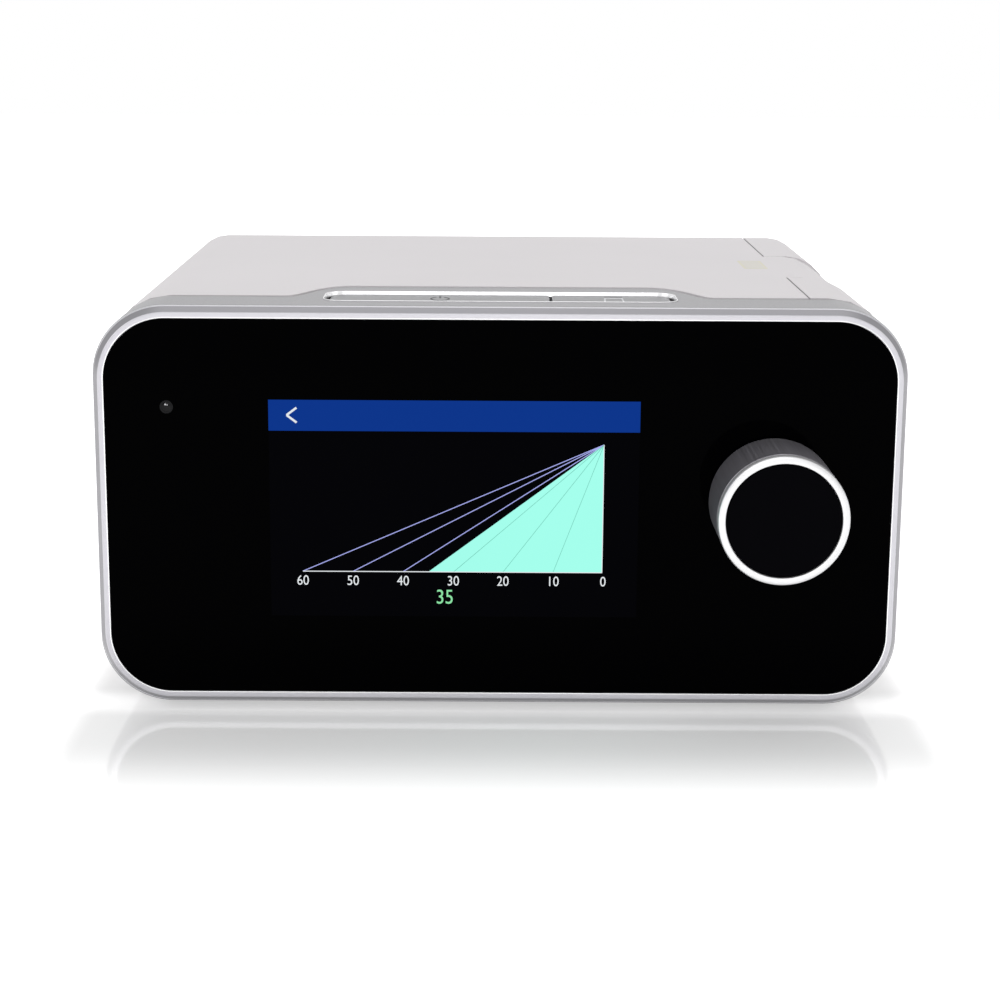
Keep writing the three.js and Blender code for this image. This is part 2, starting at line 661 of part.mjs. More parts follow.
function makeFilterCover() {
  const near = rear.depth - wall;
  const plate = backward(filterShape(0), near, rear.depth);
  const cuts = [];
  const span = filterHigh - filterLow - filter.side * 2;
  for (let i = 0; i < filter.slots; i += 1) {
    const z = filterLow + filter.side + span * (i + 0.5) / filter.slots;
    cuts.push(backward(roundedShape(filterLeft + filter.side, filterRight - filter.side,
      z - filter.slot / 2, z + filter.slot / 2, filter.slot / 2), near - overcut, rear.depth + overcut,
        cornerSteps));
  }
  return cut(plate, ...cuts);
}

function makeFilter() {
  const far = rear.depth - wall - fit;
  return backward(filterShape(-filter.radius / 4), far - filter.thick, far);
}

// Blower: a spiral housing in two halves, motor, impeller and soft mounts

const duct = { dia: 22, bore: 18.6, drop: 15.4, rise: 18, bend: 10, steps: 8, sides: 10 };
const ductZ = top - duct.drop;
const blower = {
  half: 11, wall: 2, outlet: 24, steps: 24, turnShares: [-0.28, 1.5],
  inlet: 26, collar: 3, lug: 4.4, post: 7, mountDia: 8, mountHeight: 5, lugThick: 2,
};
const blowerX = across(acrossShares.blowerShare);
const blowerY = deep(deepShares.blowerShare);
const blowerSmall = deep(deepShares.blowerSmallShare);
const blowerLarge = deep(deepShares.blowerLargeShare);
const blowerTop = ductZ - duct.rise;
const blowerSplit = blowerTop - blower.half;
const blowerLow = blowerSplit - blower.half;
const motor = { dia: 42, height: 22, bore: 5.8, shaft: 5, hole: 10, fins: 12 };
const wheel = { gap: 5, disc: 1.6, blades: 9, blade: 1.4, height: 12, hub: 14, eye: 12, sweepShare: 0.9,
lift: 4 };
const wheelRadius = blowerSmall - wheel.gap;
const mountReach = across(acrossShares.mountShare);
const mountYs = [blowerY - deep(deepShares.mountFrontShare), blowerY + deep(deepShares.mountRearShare)];
const mountPlaces = mountYs.flatMap((y) =>
  [[blowerX - mountReach, y], [blowerX + mountReach, y]]);
const mountLow = blowerLow - fit - blower.mountHeight;
const outletY = blowerY - blowerLarge + blower.outlet / 2;
const outletZ = blowerSplit;

// The spiral grows evenly through its turn and runs out along +X
function voluteShape(inset) {
  const shape = new THREE.Shape();
  const [startTurn, endTurn] = blower.turnShares;
  const points = [];
  for (let i = 0; i <= blower.steps; i += 1) {
    const share = i / blower.steps;
    const angle = Math.PI * (startTurn + (endTurn - startTurn) * share);
    const radius = blowerSmall + (blowerLarge - blowerSmall) * share - inset;
    points.push([blowerX + radius * Math.cos(angle), blowerY + radius * Math.sin(angle)]);
  }
  const end = blowerX + across(acrossShares.nozzleShare) + (inset > 0 ? overcut : 0);
  const outer = blowerY - blowerLarge + inset;
  const innerY = blowerY - blowerLarge + blower.outlet - inset;
  points.push([end, outer], [end, innerY]);
  points.forEach(([x, y], i) => (i ? shape.lineTo(x, y) : shape.moveTo(x, y)));
  shape.closePath();
  return shape;
}

function makeLowerVolute() {
  const shell = upward(voluteShape(0), blowerLow, blowerSplit);
  const hollow = upward(voluteShape(blower.wall), blowerLow + blower.wall, blowerSplit + overcut);
  const lugs = mountPlaces.map(([x, y]) => {
    const arm = block(Math.min(x, blowerX), Math.max(x, blowerX), y - blower.lug / 2, y + blower.lug / 2,
      blowerLow, blowerLow + blower.lugThick);
    return join(upRod(x, y, blower.mountDia / 2, blowerLow, blowerLow + blower.lugThick), arm);
  });
  const hole = upRod(blowerX, blowerY, motor.hole / 2, blowerLow - overcut, blowerLow + overcut);
  return cut(join(shell, ...lugs), hollow, hole);
}

function makeUpperVolute() {
  const shell = upward(voluteShape(0), blowerSplit + fit, blowerTop);
  const hollow = upward(voluteShape(blower.wall), blowerSplit - overcut, blowerTop - blower.wall);
  const collar = upRod(blowerX, blowerY, blower.inlet / 2 + blower.wall, blowerTop - blower.wall / 2,
    blowerTop + blower.collar, roundSteps);
  const eye = upRod(blowerX, blowerY, blower.inlet / 2, blowerTop - overcut, blowerTop + overcut * 2,
    roundSteps);
  return cut(join(cut(shell, hollow), collar), eye);
}

function makeMount(x, y) {
  const waist = blower.mountDia / 2 - rib / 2;
  const profile = [[0, 0], [blower.mountDia / 2, 0], [waist, blower.mountHeight / 2],
    [blower.mountDia / 2, blower.mountHeight], [0, blower.mountHeight]].map(([r, h]) => [r, h + mountLow]);
  return upRevolve(x, y, profile, postSteps);
}

function makeStator() {
  const high = blowerLow - fit;
  const can = upRod(blowerX, blowerY, motor.dia / 2, high - motor.height, high, roundSteps);
  const bore = upRod(blowerX, blowerY, motor.bore / 2, high - motor.height + blower.wall, high + overcut);
  const grooves = [];
  for (let i = 0; i < motor.fins; i += 1) {
    const angle = i / motor.fins * Math.PI * 2;
    const reach = motor.dia / 2;
    grooves.push(upRod(blowerX + reach * Math.cos(angle), blowerY + reach * Math.sin(angle), rib / 2,
      high - motor.height + blower.wall, high - blower.wall, smallSteps / 2));
  }
  return cut(can, bore, ...grooves);
}

const wheelLow = blowerLow + wheel.lift;

function makeMotorShaft() {
  return upRod(blowerX, blowerY, motor.shaft / 2, blowerLow - motor.height + blower.wall * 2,
    wheelLow + wheel.height);
}

// Backward-curved blades on a disc, each a bent plate that leans away from the turn
function bladeShape(angle) {
  const steps = 5;
  const outline = [];
  for (const side of [1, -1]) {
    for (let i = 0; i <= steps; i += 1) {
      const share = side > 0 ? i / steps : 1 - i / steps;
      const radius = wheel.eye + (wheelRadius - wheel.eye) * share;
      const turn = angle - wheel.sweepShare * share + side * wheel.blade / 2 / radius;
      outline.push([blowerX + radius * Math.cos(turn), blowerY + radius * Math.sin(turn)]);
    }
  }
  return outlineShape(outline);
}

function makeImpeller() {
  const disc = upRod(blowerX, blowerY, wheelRadius, wheelLow, wheelLow + wheel.disc, roundSteps);
  const hub = upRod(blowerX, blowerY, wheel.hub / 2, wheelLow, wheelLow + wheel.height - wheel.disc,
    smallSteps);
  const blades = [];
  for (let i = 0; i < wheel.blades; i += 1) {
    blades.push(upward(bladeShape(i / wheel.blades * Math.PI * 2), wheelLow + wheel.disc / 2,
      wheelLow + wheel.height));
  }
  const bore = upRod(blowerX, blowerY, motor.shaft / 2 + fit, wheelLow - overcut,
    wheelLow + wheel.height + overcut);
  return cut(join(disc, hub, ...blades), bore);
}

// Air path: silencer box, inlet duct with flow sensor, outlet duct, elbow and outlet port

const silencer = {
  left: across(acrossShares.silencerLeftShare), right: across(acrossShares.silencerRightShare),
  near: deep(deepShares.silencerShare), wall: 1.8, high: high(highShares.silencerShare),
};
const flow = { width: 12, length: 16, height: 1.6 };

function makeSilencer() {
  const far = rear.depth - wall - fit - filter.thick - fit;
  const low = floorTop + fit;
  const box = block(silencer.left, silencer.right, silencer.near, far, low, silencer.high);
  const hollow = block(silencer.left + silencer.wall, silencer.right - silencer.wall,
    silencer.near + silencer.wall,
    far - silencer.wall, low + silencer.wall, silencer.high - silencer.wall);
  const baffle = block(silencer.left, silencer.right - duct.dia,
    (silencer.near + far) / 2 - silencer.wall / 2,
    (silencer.near + far) / 2 + silencer.wall / 2, low + silencer.wall / 2,
      silencer.high - silencer.wall / 2);
  const inlet = backward(filterShape(-filter.side), far - overcut, far + overcut);
  const outlet = backRod(blowerX, ductZ, duct.bore / 2, silencer.near - overcut, silencer.near + overcut);
  return cut(join(cut(box, hollow), baffle), inlet, outlet);
}

function bentPath(from, corner, to, radius) {
  const a = new THREE.Vector3(...from);
  const b = new THREE.Vector3(...corner);
  const c = new THREE.Vector3(...to);
  const enter = b.clone().add(a.clone().sub(b).setLength(radius));
  const leave = b.clone().add(c.clone().sub(b).setLength(radius));
  const path = new THREE.CurvePath();
  path.add(new THREE.LineCurve3(a, enter));
  path.add(new THREE.QuadraticBezierCurve3(enter, b, leave));
  path.add(new THREE.LineCurve3(leave, c));
  return path;
}

function makeInletDuct() {
  const path = bentPath([blowerX, blowerY, blowerTop + blower.collar + fit], [blowerX, blowerY, ductZ],
    [blowerX, silencer.near - fit, ductZ], duct.bend);
  return tubeAlong(path, duct.dia / 2, duct.bore / 2, duct.steps);
}

function makeFlowSensor() {
  const y = (blowerY + duct.bend + silencer.near) / 2;
  return block(blowerX - flow.width / 2, blowerX + flow.width / 2, y - flow.length / 2, y + flow.length / 2,
    ductZ + duct.dia / 2 + fit, ductZ + duct.dia / 2 + fit + flow.height);
}

const nozzleEnd = blowerX + across(acrossShares.nozzleShare);

function makeOutletDuct() {
  const from = new THREE.Vector3(nozzleEnd + fit, outletY, outletZ);
  const to = new THREE.Vector3(bay.left - fit, outletY, portZ);
  const pull = (to.x - from.x) / 2;
  const path = new THREE.CubicBezierCurve3(from, new THREE.Vector3(from.x + pull, from.y, from.z),
    new THREE.Vector3(to.x - pull, to.y, to.z), to);
  return tubeAlong(path, duct.dia / 2, duct.bore / 2, duct.steps);
}

function makeElbow() {
  const y = tankOutletY;
  const path = bentPath([bay.left - fit, y, portZ], [portX, y, portZ],
    [portX, rear.depth - wall - fit - rib - fit, portZ], duct.bend + overcut);
  return tubeAlong(path, duct.dia / 2, duct.bore / 2, duct.steps);
}

function makePort() {
  const near = rear.depth - wall - fit - rib;
  const far = rear.depth + port.reach;
  const profile = [
    [port.bore / 2, near], [port.flange / 2, near], [port.flange / 2, near + rib], [port.dia / 2, near + rib],
    [port.dia / 2, far - port.reach], [port.dia / 2 - fit, far - rib / 2], [port.dia / 2 - rib / 2, far],
    [port.bore / 2 + fit, far], [port.bore / 2, far - fit], [port.bore / 2, near],
  ];
  return backRevolve(portX, portZ, profile);
}

// Water tank: bay, heater, tub with metal base, seal, lid and the side cover that it is pulled by

const bay = {
  left: across(acrossShares.bayLeftShare), right: seamX - fit * 2,
    near: barMiddle + switches.depth / 2 + fit * 2, margin: 12.3,
  rise: 6.4, post: 6,
};
bay.far = rear.depth - bay.margin;
bay.low = floorTop + bay.rise;
bay.high = high(highShares.bayHighShare);
const bayFloor = bay.low + rib;
const heaterSide = 11.4;
const heaterDrop = 2.8;
const heater = {
  left: across(acrossShares.heaterLeftShare), right: seamX - heaterSide,
    near: deep(deepShares.heaterNearShare),
  far: deep(deepShares.heaterFarShare), low: bay.low - heaterDrop, thick: 3.6, rim: 3,
};
const tub = { seal: 4.4, side: 1.2, drop: 14, rise: 16.4, radius: 7, window: 24, windowEdge: 8 };
tub.left = bay.left + tub.seal;
tub.right = seamX + seam.gap - fit;
tub.split = portZ - tub.drop;
tub.high = portZ + tub.rise;
tub.bottom = bayFloor + fit * 2;
const cover = { plate: 1.8, scoopDrop: 32, scoopDeep: 11, scoopSide: 4, wall: 1.8 };
const tankOutletY = deep(deepShares.tankOutletShare);

const tubNear = bay.near + rib + slideGap + tub.side;
const tubFar = bay.far - rib - slideGap - tub.side;

const boxPosts = (left, right, near, far, inset) =>
  [[left + inset, near + inset], [right - inset, near + inset], [left + inset, far - inset],
    [right - inset, far - inset]];

const bayPosts = boxPosts(bay.left, bay.right, bay.near, bay.far, bay.post);
const heaterPosts = boxPosts(heater.left, heater.right, heater.near, heater.far, bay.post);

function makeBay() {
  const box = block(bay.left, bay.right, bay.near, bay.far, bay.low, bay.high);
  const hollow = block(bay.left + rib, bay.right + overcut, bay.near + rib, bay.far - rib, bayFloor,
    bay.high - rib);
  const opening = block(heater.left - fit, heater.right + fit, heater.near - fit, heater.far + fit,
    bay.low - overcut, bayFloor + overcut);
  const holes = [outletY, tankOutletY].map((y) =>
    sideRod(y, portZ, duct.bore / 2, bay.left - overcut, bay.left + rib + overcut));
  const beads = [];
  for (const z of [middle - bay.post, middle + bay.post * 2]) {
    beads.push(block(bay.left + rib / 2, bay.right, bay.near + rib / 2, bay.near + rib + slideGap, z,
      z + rib));
    beads.push(block(bay.left + rib / 2, bay.right, bay.far - rib - slideGap, bay.far - rib / 2, z, z + rib));
  }
  return cut(join(cut(box, hollow), ...beads), opening, ...holes);
}

function makeHeater() {
  const plate = block(heater.left, heater.right, heater.near, heater.far, heater.low,
    heater.low + heater.thick);
  const pad = upward(roundedShape(heater.left + heater.rim, heater.right - heater.rim,
    heater.near + heater.rim,
    heater.far - heater.rim, heater.rim), heater.low + heater.thick / 2, bayFloor + fit);
  return join(plate, pad);
}

function makeHeaterGasket() {
  const high = bay.low - fit;
  const low = high - rib / 2;
  const ring = block(heater.left - heater.rim, heater.right + heater.rim, heater.near - heater.rim,
    heater.far + heater.rim, low, high);
  return cut(ring, block(heater.left - fit, heater.right + fit, heater.near - fit, heater.far + fit,
    low - overcut, high + overcut));
}

const tubShape = (inset) => roundedShape(tub.left + inset, tub.right - inset, tubNear + inset, tubFar - inset,
  tub.radius - inset);
const baseShape = (inset) => roundedShape(heater.left + inset, heater.right - inset, heater.near + inset,
  heater.far - inset, tub.radius - inset);

function makeTub() {
  const shell = cut(upward(tubShape(0), tub.bottom, tub.split), upward(tubShape(rib), tub.bottom + rib,
    tub.split + overcut));
  return cut(shell, upward(baseShape(heater.rim), tub.bottom - overcut, tub.bottom + rib + overcut),
    upward(baseShape(-fit), tub.bottom - overcut, tub.bottom + rib / 2));
}

function makeTankBase() {
  const flange = upward(baseShape(0), tub.bottom, tub.bottom + rib / 2 - fit);
  return join(flange, upward(baseShape(heater.rim + fit), tub.bottom + fit, tub.bottom + rib));
}

function makeTankSeal() {
  const low = tub.split + fit;
  const ring = upward(tubShape(fit), low, low + rib);
  return cut(ring, upward(tubShape(rib + fit), low - overcut, low + rib + overcut));
}

function makeTankLid() {
  const low = tub.split + fit + rib + fit;
  const shell = cut(upward(tubShape(0), low, tub.high), upward(tubShape(rib), low - overcut, tub.high - rib));
  const spouts = [outletY, tankOutletY].map((y) => sideRod(y, portZ, duct.bore / 2 + rib, tub.left + rib / 2,
    tub.left + duct.dia / 2));
  const bores = [outletY, tankOutletY].map((y) => sideRod(y, portZ, duct.bore / 2 - rib / 2,
    tub.left - overcut,
    tub.left + duct.dia));
  return cut(join(shell, ...spouts), ...bores);
}

function makePortSeal(y) {
  const left = bay.left + rib + fit;
  const right = tub.left - fit;
  return cut(sideRod(y, portZ, duct.dia / 2 + rib / 2, left, right),
    sideRod(y, portZ, duct.bore / 2, left - overcut, right + overcut));
}

const coverLeft = seamX + seam.gap;
const scoopFront = tongue.front + cover.scoopSide;
const scoopRear = tongue.rear - cover.scoopSide;
const scoopTop = tongueLow - seam.gap;
const scoopLow = tongueLow - cover.scoopDrop;

function makeSideCover() {
  const region = cut(block(coverLeft, farRight, -overcut, rear.depth + overcut, -overcut, farUp),
    tongueRegion(seam.gap));
  const outer = keep(bodyOuter(), region);
  const hollow = keep(bodySolid(bodyStart + wall, rear.depth - wall, wall),
    block(coverLeft + cover.plate, farRight, -overcut, rear.depth + overcut, -overcut, farUp));
  const pocketBlock = keep(outer, block(coverLeft, farRight, tongue.front - seam.gap - cover.wall,
    tongue.rear + seam.gap + cover.wall, scoopLow - cover.wall, farUp));
  const outermost = bodyRing((scoopFront + scoopRear) / 2).points.reduce((most, [x]) => Math.max(most, x), 0);
  const scoop = sideways(roundedShape(scoopFront, scoopRear, scoopLow, scoopTop + overcut * 3,
    cover.scoopDeep / 2),
    outermost - cover.scoopDeep, farRight, arcSteps);
  const windows = [bodyStart + wall + tub.windowEdge, tongue.rear + cover.wall + tub.windowEdge].map((y) =>
    block(coverLeft - overcut, coverLeft + cover.plate + overcut, y, y + tub.window,
      tub.split - tub.window, tub.split));
  return cut(join(cut(outer, hollow), pocketBlock), scoop, ...windows);
}

// Electronics: main board, power jack and card reader

const boardRise = 4.2;
const board = {
  left: across(acrossShares.boardLeftShare), right: 0, near: deep(deepShares.boardNearShare),
    far: deep(deepShares.boardFarShare),
  z: floorTop + boardRise, thick: 1.6, post: 6, inset: 5, part: 4,
};
const boardPosts = boxPosts(board.left, board.right, board.near, board.far, board.inset);
const partShares = [[0.3, 0.06, 0.2, 0.1], [0.62, 0.08, 0.16, 0.12], [0.2, 0.82, 0.2, 0.12], [0.7, 0.86,
  0.14, 0.1],
  [0.94, 0.5, 0.06, 0.2], [0.05, 0.5, 0.06, 0.24]];

function makeMainBoard() {
  const width = board.right - board.left;
  const length = board.far - board.near;
  const plate = block(board.left, board.right, board.near, board.far, board.z, board.z + board.thick);
  const parts = partShares.map(([xs, ys, ws, ls]) => {
    const x = board.left + width * xs;
    const y = board.near + length * ys;
    return block(x - width * ws / 2, x + width * ws / 2, y - length * ls / 2, y + length * ls / 2,
      board.z + board.thick / 2, board.z + board.thick + board.part);
  });
  const clear = mountPlaces.map(([x, y]) =>
    upRod(x, y, blower.post / 2 + slideGap, board.z - overcut,
      board.z + board.thick + board.part + overcut, postSteps));
  return cut(join(plate, ...parts), ...clear);
}

const jack = { rise: 22.4, width: 14, height: 12, back: 3.3, length: 15, nose: 9, bore: 6.2, pin: 2 };
const jackX = across(acrossShares.jackShare);
const jackZ = bottom + jack.rise;
const jackFront = rear.depth - jack.back - jack.length;
const card = { rise: 26.4, width: 5, height: 32, length: 28, slot: 2.8, slotHeight: 26 };
const cardX = across(acrossShares.cardShare);
const cardZ = bottom + card.rise;
const cardFront = jackFront + jack.length - card.length;

function makeJack() {
  const end = jackFront + jack.length;
  const body = block(jackX - jack.width / 2, jackX + jack.width / 2, jackFront, end,
    jackZ - jack.height / 2, jackZ + jack.height / 2);
  const nose = backRod(jackX, jackZ, jack.nose / 2, end - rib, rear.depth);
  const bore = backRod(jackX, jackZ, jack.bore / 2, jackFront + rib, rear.depth + overcut);
  const pin = backRod(jackX, jackZ, jack.pin / 2, jackFront + rib / 2, rear.depth - rib / 2, smallSteps / 2);
  return join(cut(join(body, nose), bore), pin);
}

function makeCardReader() {
  const body = block(cardX - card.width / 2, cardX + card.width / 2, cardFront, cardFront + card.length,
    cardZ - card.height / 2, cardZ + card.height / 2);
  return cut(body, block(cardX - card.slot / 2, cardX + card.slot / 2, cardFront + rib,
    cardFront + card.length + overcut, cardZ - card.slotHeight / 2, cardZ + card.slotHeight / 2));
}

function makeLightSensor() {
  const z = middle + sensor.rise;
  return join(backRod(sensorX, z, sensor.dia / 2, glass.thick + fit, glass.thick + fit + sensor.length),
    block(sensorX - sensor.dia, sensorX + sensor.dia, glass.thick + sensor.length, boardNear - fit,
      z - sensor.dia, z + sensor.dia));
}

// The assembly, from the front to the back

add('front_glass', makeGlass(), paint.black, 0.05);
add('bezel_ring', makeBezel(), paint.bezel, 0.28, 0.9);
add('front_frame', makeFrame(), paint.frame, 0.42, 0.5);
add('lcd_module', makeLcd(), paint.dark, 0.35, 0.3);
add('display_bracket', makeBracket(), paint.steel, 0.4, 0.8);
add('display_board', makeDisplayBoard(), paint.board, 0.5);
add('light_sensor', makeLightSensor(), paint.dark, 0.3);
add('encoder_body', makeEncoderBody(), paint.steel, 0.35, 0.8);
add('encoder_shaft', makeEncoderShaft(), paint.steel, 0.3, 0.9);
add('knob_skirt', makeKnobBody(), paint.knob, 0.4, 0.7);
add('knob_ring', makeKnobRing(), paint.steel, 0.1, 1);
add('knob_face', makeKnobFace(), paint.black, 0.25);
add('power_button', makeButton(-barHalf, buttonBar.split, true, false), paint.frame, 0.45, 0.3);
add('menu_button', makeButton(buttonBar.split, barHalf, false, true), paint.frame, 0.45, 0.3);
add('power_switch', makeSwitch(leftButtonX), paint.dark, 0.5);
add('menu_switch', makeSwitch(rightButtonX), paint.dark, 0.5);
add('button_board', makeButtonBoard(), paint.board, 0.5);
add('top_shell', makeTopShell(), paint.shell, 0.5);
add('base_shell', makeBaseShell(), paint.shell, 0.55);
screwPlaces.forEach(([x, y], i) => add(`case_screw_${i + 1}`, makeScrew(x, y), paint.steel, 0.3, 0.9));
footPlaces.forEach(([x, y], i) => add(`rubber_foot_${i + 1}`, makeFoot(x, y), paint.rubber, 0.8));
add('rear_cover', makeRearCover(), paint.shell, 0.55);
add('filter_cover', makeFilterCover(), paint.shell, 0.55);
add('air_filter', makeFilter(), paint.grey, 0.95);
add('blower_lower', makeLowerVolute(), paint.dark, 0.5);
add('blower_upper', makeUpperVolute(), paint.dark, 0.5);
mountPlaces.forEach(([x, y], i) => add(`blower_mount_${i + 1}`, makeMount(x, y), paint.silicone, 0.7));
add('motor_stator', makeStator(), paint.steel, 0.4, 0.7);
add('motor_shaft', makeMotorShaft(), paint.steel, 0.2, 1);
add('impeller', makeImpeller(), paint.grey, 0.4);
add('inlet_silencer', makeSilencer(), paint.dark, 0.6);
add('inlet_duct', makeInletDuct(), paint.silicone, 0.6);
add('flow_sensor', makeFlowSensor(), paint.board, 0.5);
add('outlet_duct', makeOutletDuct(), paint.silicone, 0.6);
add('outlet_elbow', makeElbow(), paint.grey, 0.5);
add('air_outlet_port', makePort(), paint.shell, 0.45);
add('main_board', makeMainBoard(), paint.board, 0.5);
add('power_jack', makeJack(), paint.dark, 0.4);
add('card_reader', makeCardReader(), paint.steel, 0.35, 0.8);
add('tank_bay', makeBay(), paint.grey, 0.5);
add('heater_plate', makeHeater(), paint.steel, 0.3, 0.9);
add('heater_gasket', makeHeaterGasket(), paint.silicone, 0.7);
add('inlet_seal', makePortSeal(outletY), paint.silicone, 0.7);
add('outlet_seal', makePortSeal(tankOutletY), paint.silicone, 0.7);
add('tank_tub', makeTub(), paint.clear, 0.1);
add('tank_base_plate', makeTankBase(), paint.steel, 0.3, 0.9);
add('tank_seal', makeTankSeal(), paint.silicone, 0.7);
add('tank_lid', makeTankLid(), paint.clear, 0.1);
add('tank_side_cover', makeSideCover(), paint.shell, 0.5);

machine.position.y = (knob.reach - rear.depth - port.reach) / 2;

export default machine;
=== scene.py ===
# A bedside CPAP machine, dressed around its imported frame.
# Sizes in the dictionaries are in millimetres, but for the lamps and the floor, and become metres
# where a mesh is made. Along Y they count from the face of the front glass, along Z from the table.

import json
import math

import bmesh
import bpy
from mathutils import Matrix, Vector


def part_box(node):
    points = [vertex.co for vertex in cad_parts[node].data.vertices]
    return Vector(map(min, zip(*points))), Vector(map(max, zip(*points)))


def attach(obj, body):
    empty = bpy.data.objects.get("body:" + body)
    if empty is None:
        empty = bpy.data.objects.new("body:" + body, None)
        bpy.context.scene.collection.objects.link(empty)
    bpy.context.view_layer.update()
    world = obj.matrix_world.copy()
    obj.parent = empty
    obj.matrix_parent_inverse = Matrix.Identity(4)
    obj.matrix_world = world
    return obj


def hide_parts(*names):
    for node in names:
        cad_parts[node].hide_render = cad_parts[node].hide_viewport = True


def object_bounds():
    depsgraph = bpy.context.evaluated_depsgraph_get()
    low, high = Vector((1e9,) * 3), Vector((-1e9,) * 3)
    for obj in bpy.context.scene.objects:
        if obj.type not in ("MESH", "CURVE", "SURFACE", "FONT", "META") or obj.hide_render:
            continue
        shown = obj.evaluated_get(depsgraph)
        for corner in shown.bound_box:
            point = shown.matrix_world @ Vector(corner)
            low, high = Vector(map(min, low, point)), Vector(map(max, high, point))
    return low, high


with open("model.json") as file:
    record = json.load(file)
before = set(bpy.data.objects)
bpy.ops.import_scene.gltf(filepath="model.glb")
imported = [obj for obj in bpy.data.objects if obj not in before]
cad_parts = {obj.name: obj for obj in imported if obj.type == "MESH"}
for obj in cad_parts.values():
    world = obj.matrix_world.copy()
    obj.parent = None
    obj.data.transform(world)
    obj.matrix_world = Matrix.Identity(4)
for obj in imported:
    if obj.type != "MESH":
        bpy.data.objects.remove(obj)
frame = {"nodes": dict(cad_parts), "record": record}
nodes = frame["nodes"]
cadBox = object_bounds()

mm = 0.001
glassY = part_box("front_glass")[0].y / mm
pi = math.pi
white = (1, 1, 1, 1)
print("frame loaded:", len(nodes), "nodes")


def linkObject(name, data):
    obj = bpy.data.objects.new(name, data)
    bpy.context.scene.collection.objects.link(obj)
    return obj


def newMaterial(name):
    material = bpy.data.materials.new(name)
    material.use_nodes = True
    return material, material.node_tree, material.node_tree.nodes["Principled BSDF"]


# Camera, light and floor

cameraValues = {
    # fitted to the photo: the place, then the camera's own axes
    "place": (-3.87, -539.3, 178.3),
    "right": (0.99998411, 0.00120802, 0.00550595),
    "up": (-0.00563678, 0.2210234, 0.97525222),
    "back": (-0.0000388, -0.97526776, 0.2210267),
    "lens": 78.47, "sensor": 36.0, "shift": 0.0157, "clip": (0.01, 50.0),
}


def makeCamera(v):
    data = bpy.data.cameras.new("photoCamera")
    data.sensor_width = v["sensor"]
    data.lens = v["lens"]
    data.shift_x = v["shift"]
    data.clip_start, data.clip_end = v["clip"]
    cam = linkObject("photoCamera", data)
    x, y, z = v["place"]
    turn = Matrix((v["right"], v["up"], v["back"])).transposed().to_4x4()
    cam.matrix_world = Matrix.Translation((x * mm, (y + glassY) * mm, z * mm)) @ turn
    bpy.context.scene.camera = cam


makeCamera(cameraValues)

lampTarget = Vector((0, 0, 0.05))
lampValues = {
    "above": {"at": (0.05, 0.1, 1.3), "size": 1.1, "power": 3.6},
    "left": {"at": (-1.1, -0.5, 0.7), "size": 0.8, "power": 2.6},
    "right": {"at": (1.1, -0.4, 0.6), "size": 0.8, "power": 1.8},
    "front": {"at": (0.0, -1.5, 0.6), "size": 0.9, "power": 3.1},
}


def makeLamps(values):
    for name, v in values.items():
        data = bpy.data.lights.new(name + "Lamp", "AREA")
        data.energy = v["power"]
        data.size = v["size"]
        lamp = linkObject(name + "Lamp", data)
        lamp.location = v["at"]
        lamp.rotation_euler = (lampTarget - Vector(v["at"])).to_track_quat("-Z", "Y").to_euler()


makeLamps(lampValues)
bpy.context.scene.view_settings.view_transform = "Standard"

stageValues = {
    # in metres, but for edgeY
    "size": 6.0, "floorTones": (0.82, 0.84), "noiseScale": 1.5, "rough": 0.09, "specular": 0.7,
    # liftNear to sideSteep: the floor glow, lowered round the machine, a painted darker halo over its real shadow;
    # edgeY to edgeReach: a painted light band under the front edge
    "liftNear": 0.2, "liftFar": 0.95, "liftReach": 0.075, "sideSteep": 4.2,
    "edgeY": 6.0, "paintedEdgeLight": 0.26, "edgeReach": 0.013, "worldLight": 0.5, "worldSeen": 1.0,
}


def mathNode(tree, kind, *values):
    # each value is a number or the socket that feeds it
    node = tree.nodes.new("ShaderNodeMath")
    node.operation = kind
    for socket, value in zip(node.inputs, values):
        if isinstance(value, (int, float)):
            socket.default_value = value
        else:
            tree.links.new(value, socket)
    return node.outputs[0]


def mapRange(tree, value, given, wanted, kind="LINEAR"):
    # a value taken from the given range to the wanted one
    node = tree.nodes.new("ShaderNodeMapRange")
    node.interpolation_type = kind
    for label, number in zip(("From Min", "From Max", "To Min", "To Max"), (*given, *wanted)):
        node.inputs[label].default_value = number
    tree.links.new(value, node.inputs["Value"])
    return node.outputs["Result"]


def objectAxes(tree):
    coords = tree.nodes.new("ShaderNodeTexCoord")
    split = tree.nodes.new("ShaderNodeSeparateXYZ")
    tree.links.new(coords.outputs["Object"], split.inputs[0])
    return split.outputs


def seenDirectly(tree):
    # 1 where the camera, a mirror-like surface or a clear one looks at the stage
    path = tree.nodes.new("ShaderNodeLightPath").outputs
    seen = mathNode(tree, "MAXIMUM", path["Is Camera Ray"], path["Is Glossy Ray"])
    return mathNode(tree, "MAXIMUM", seen, path["Is Transmission Ray"])


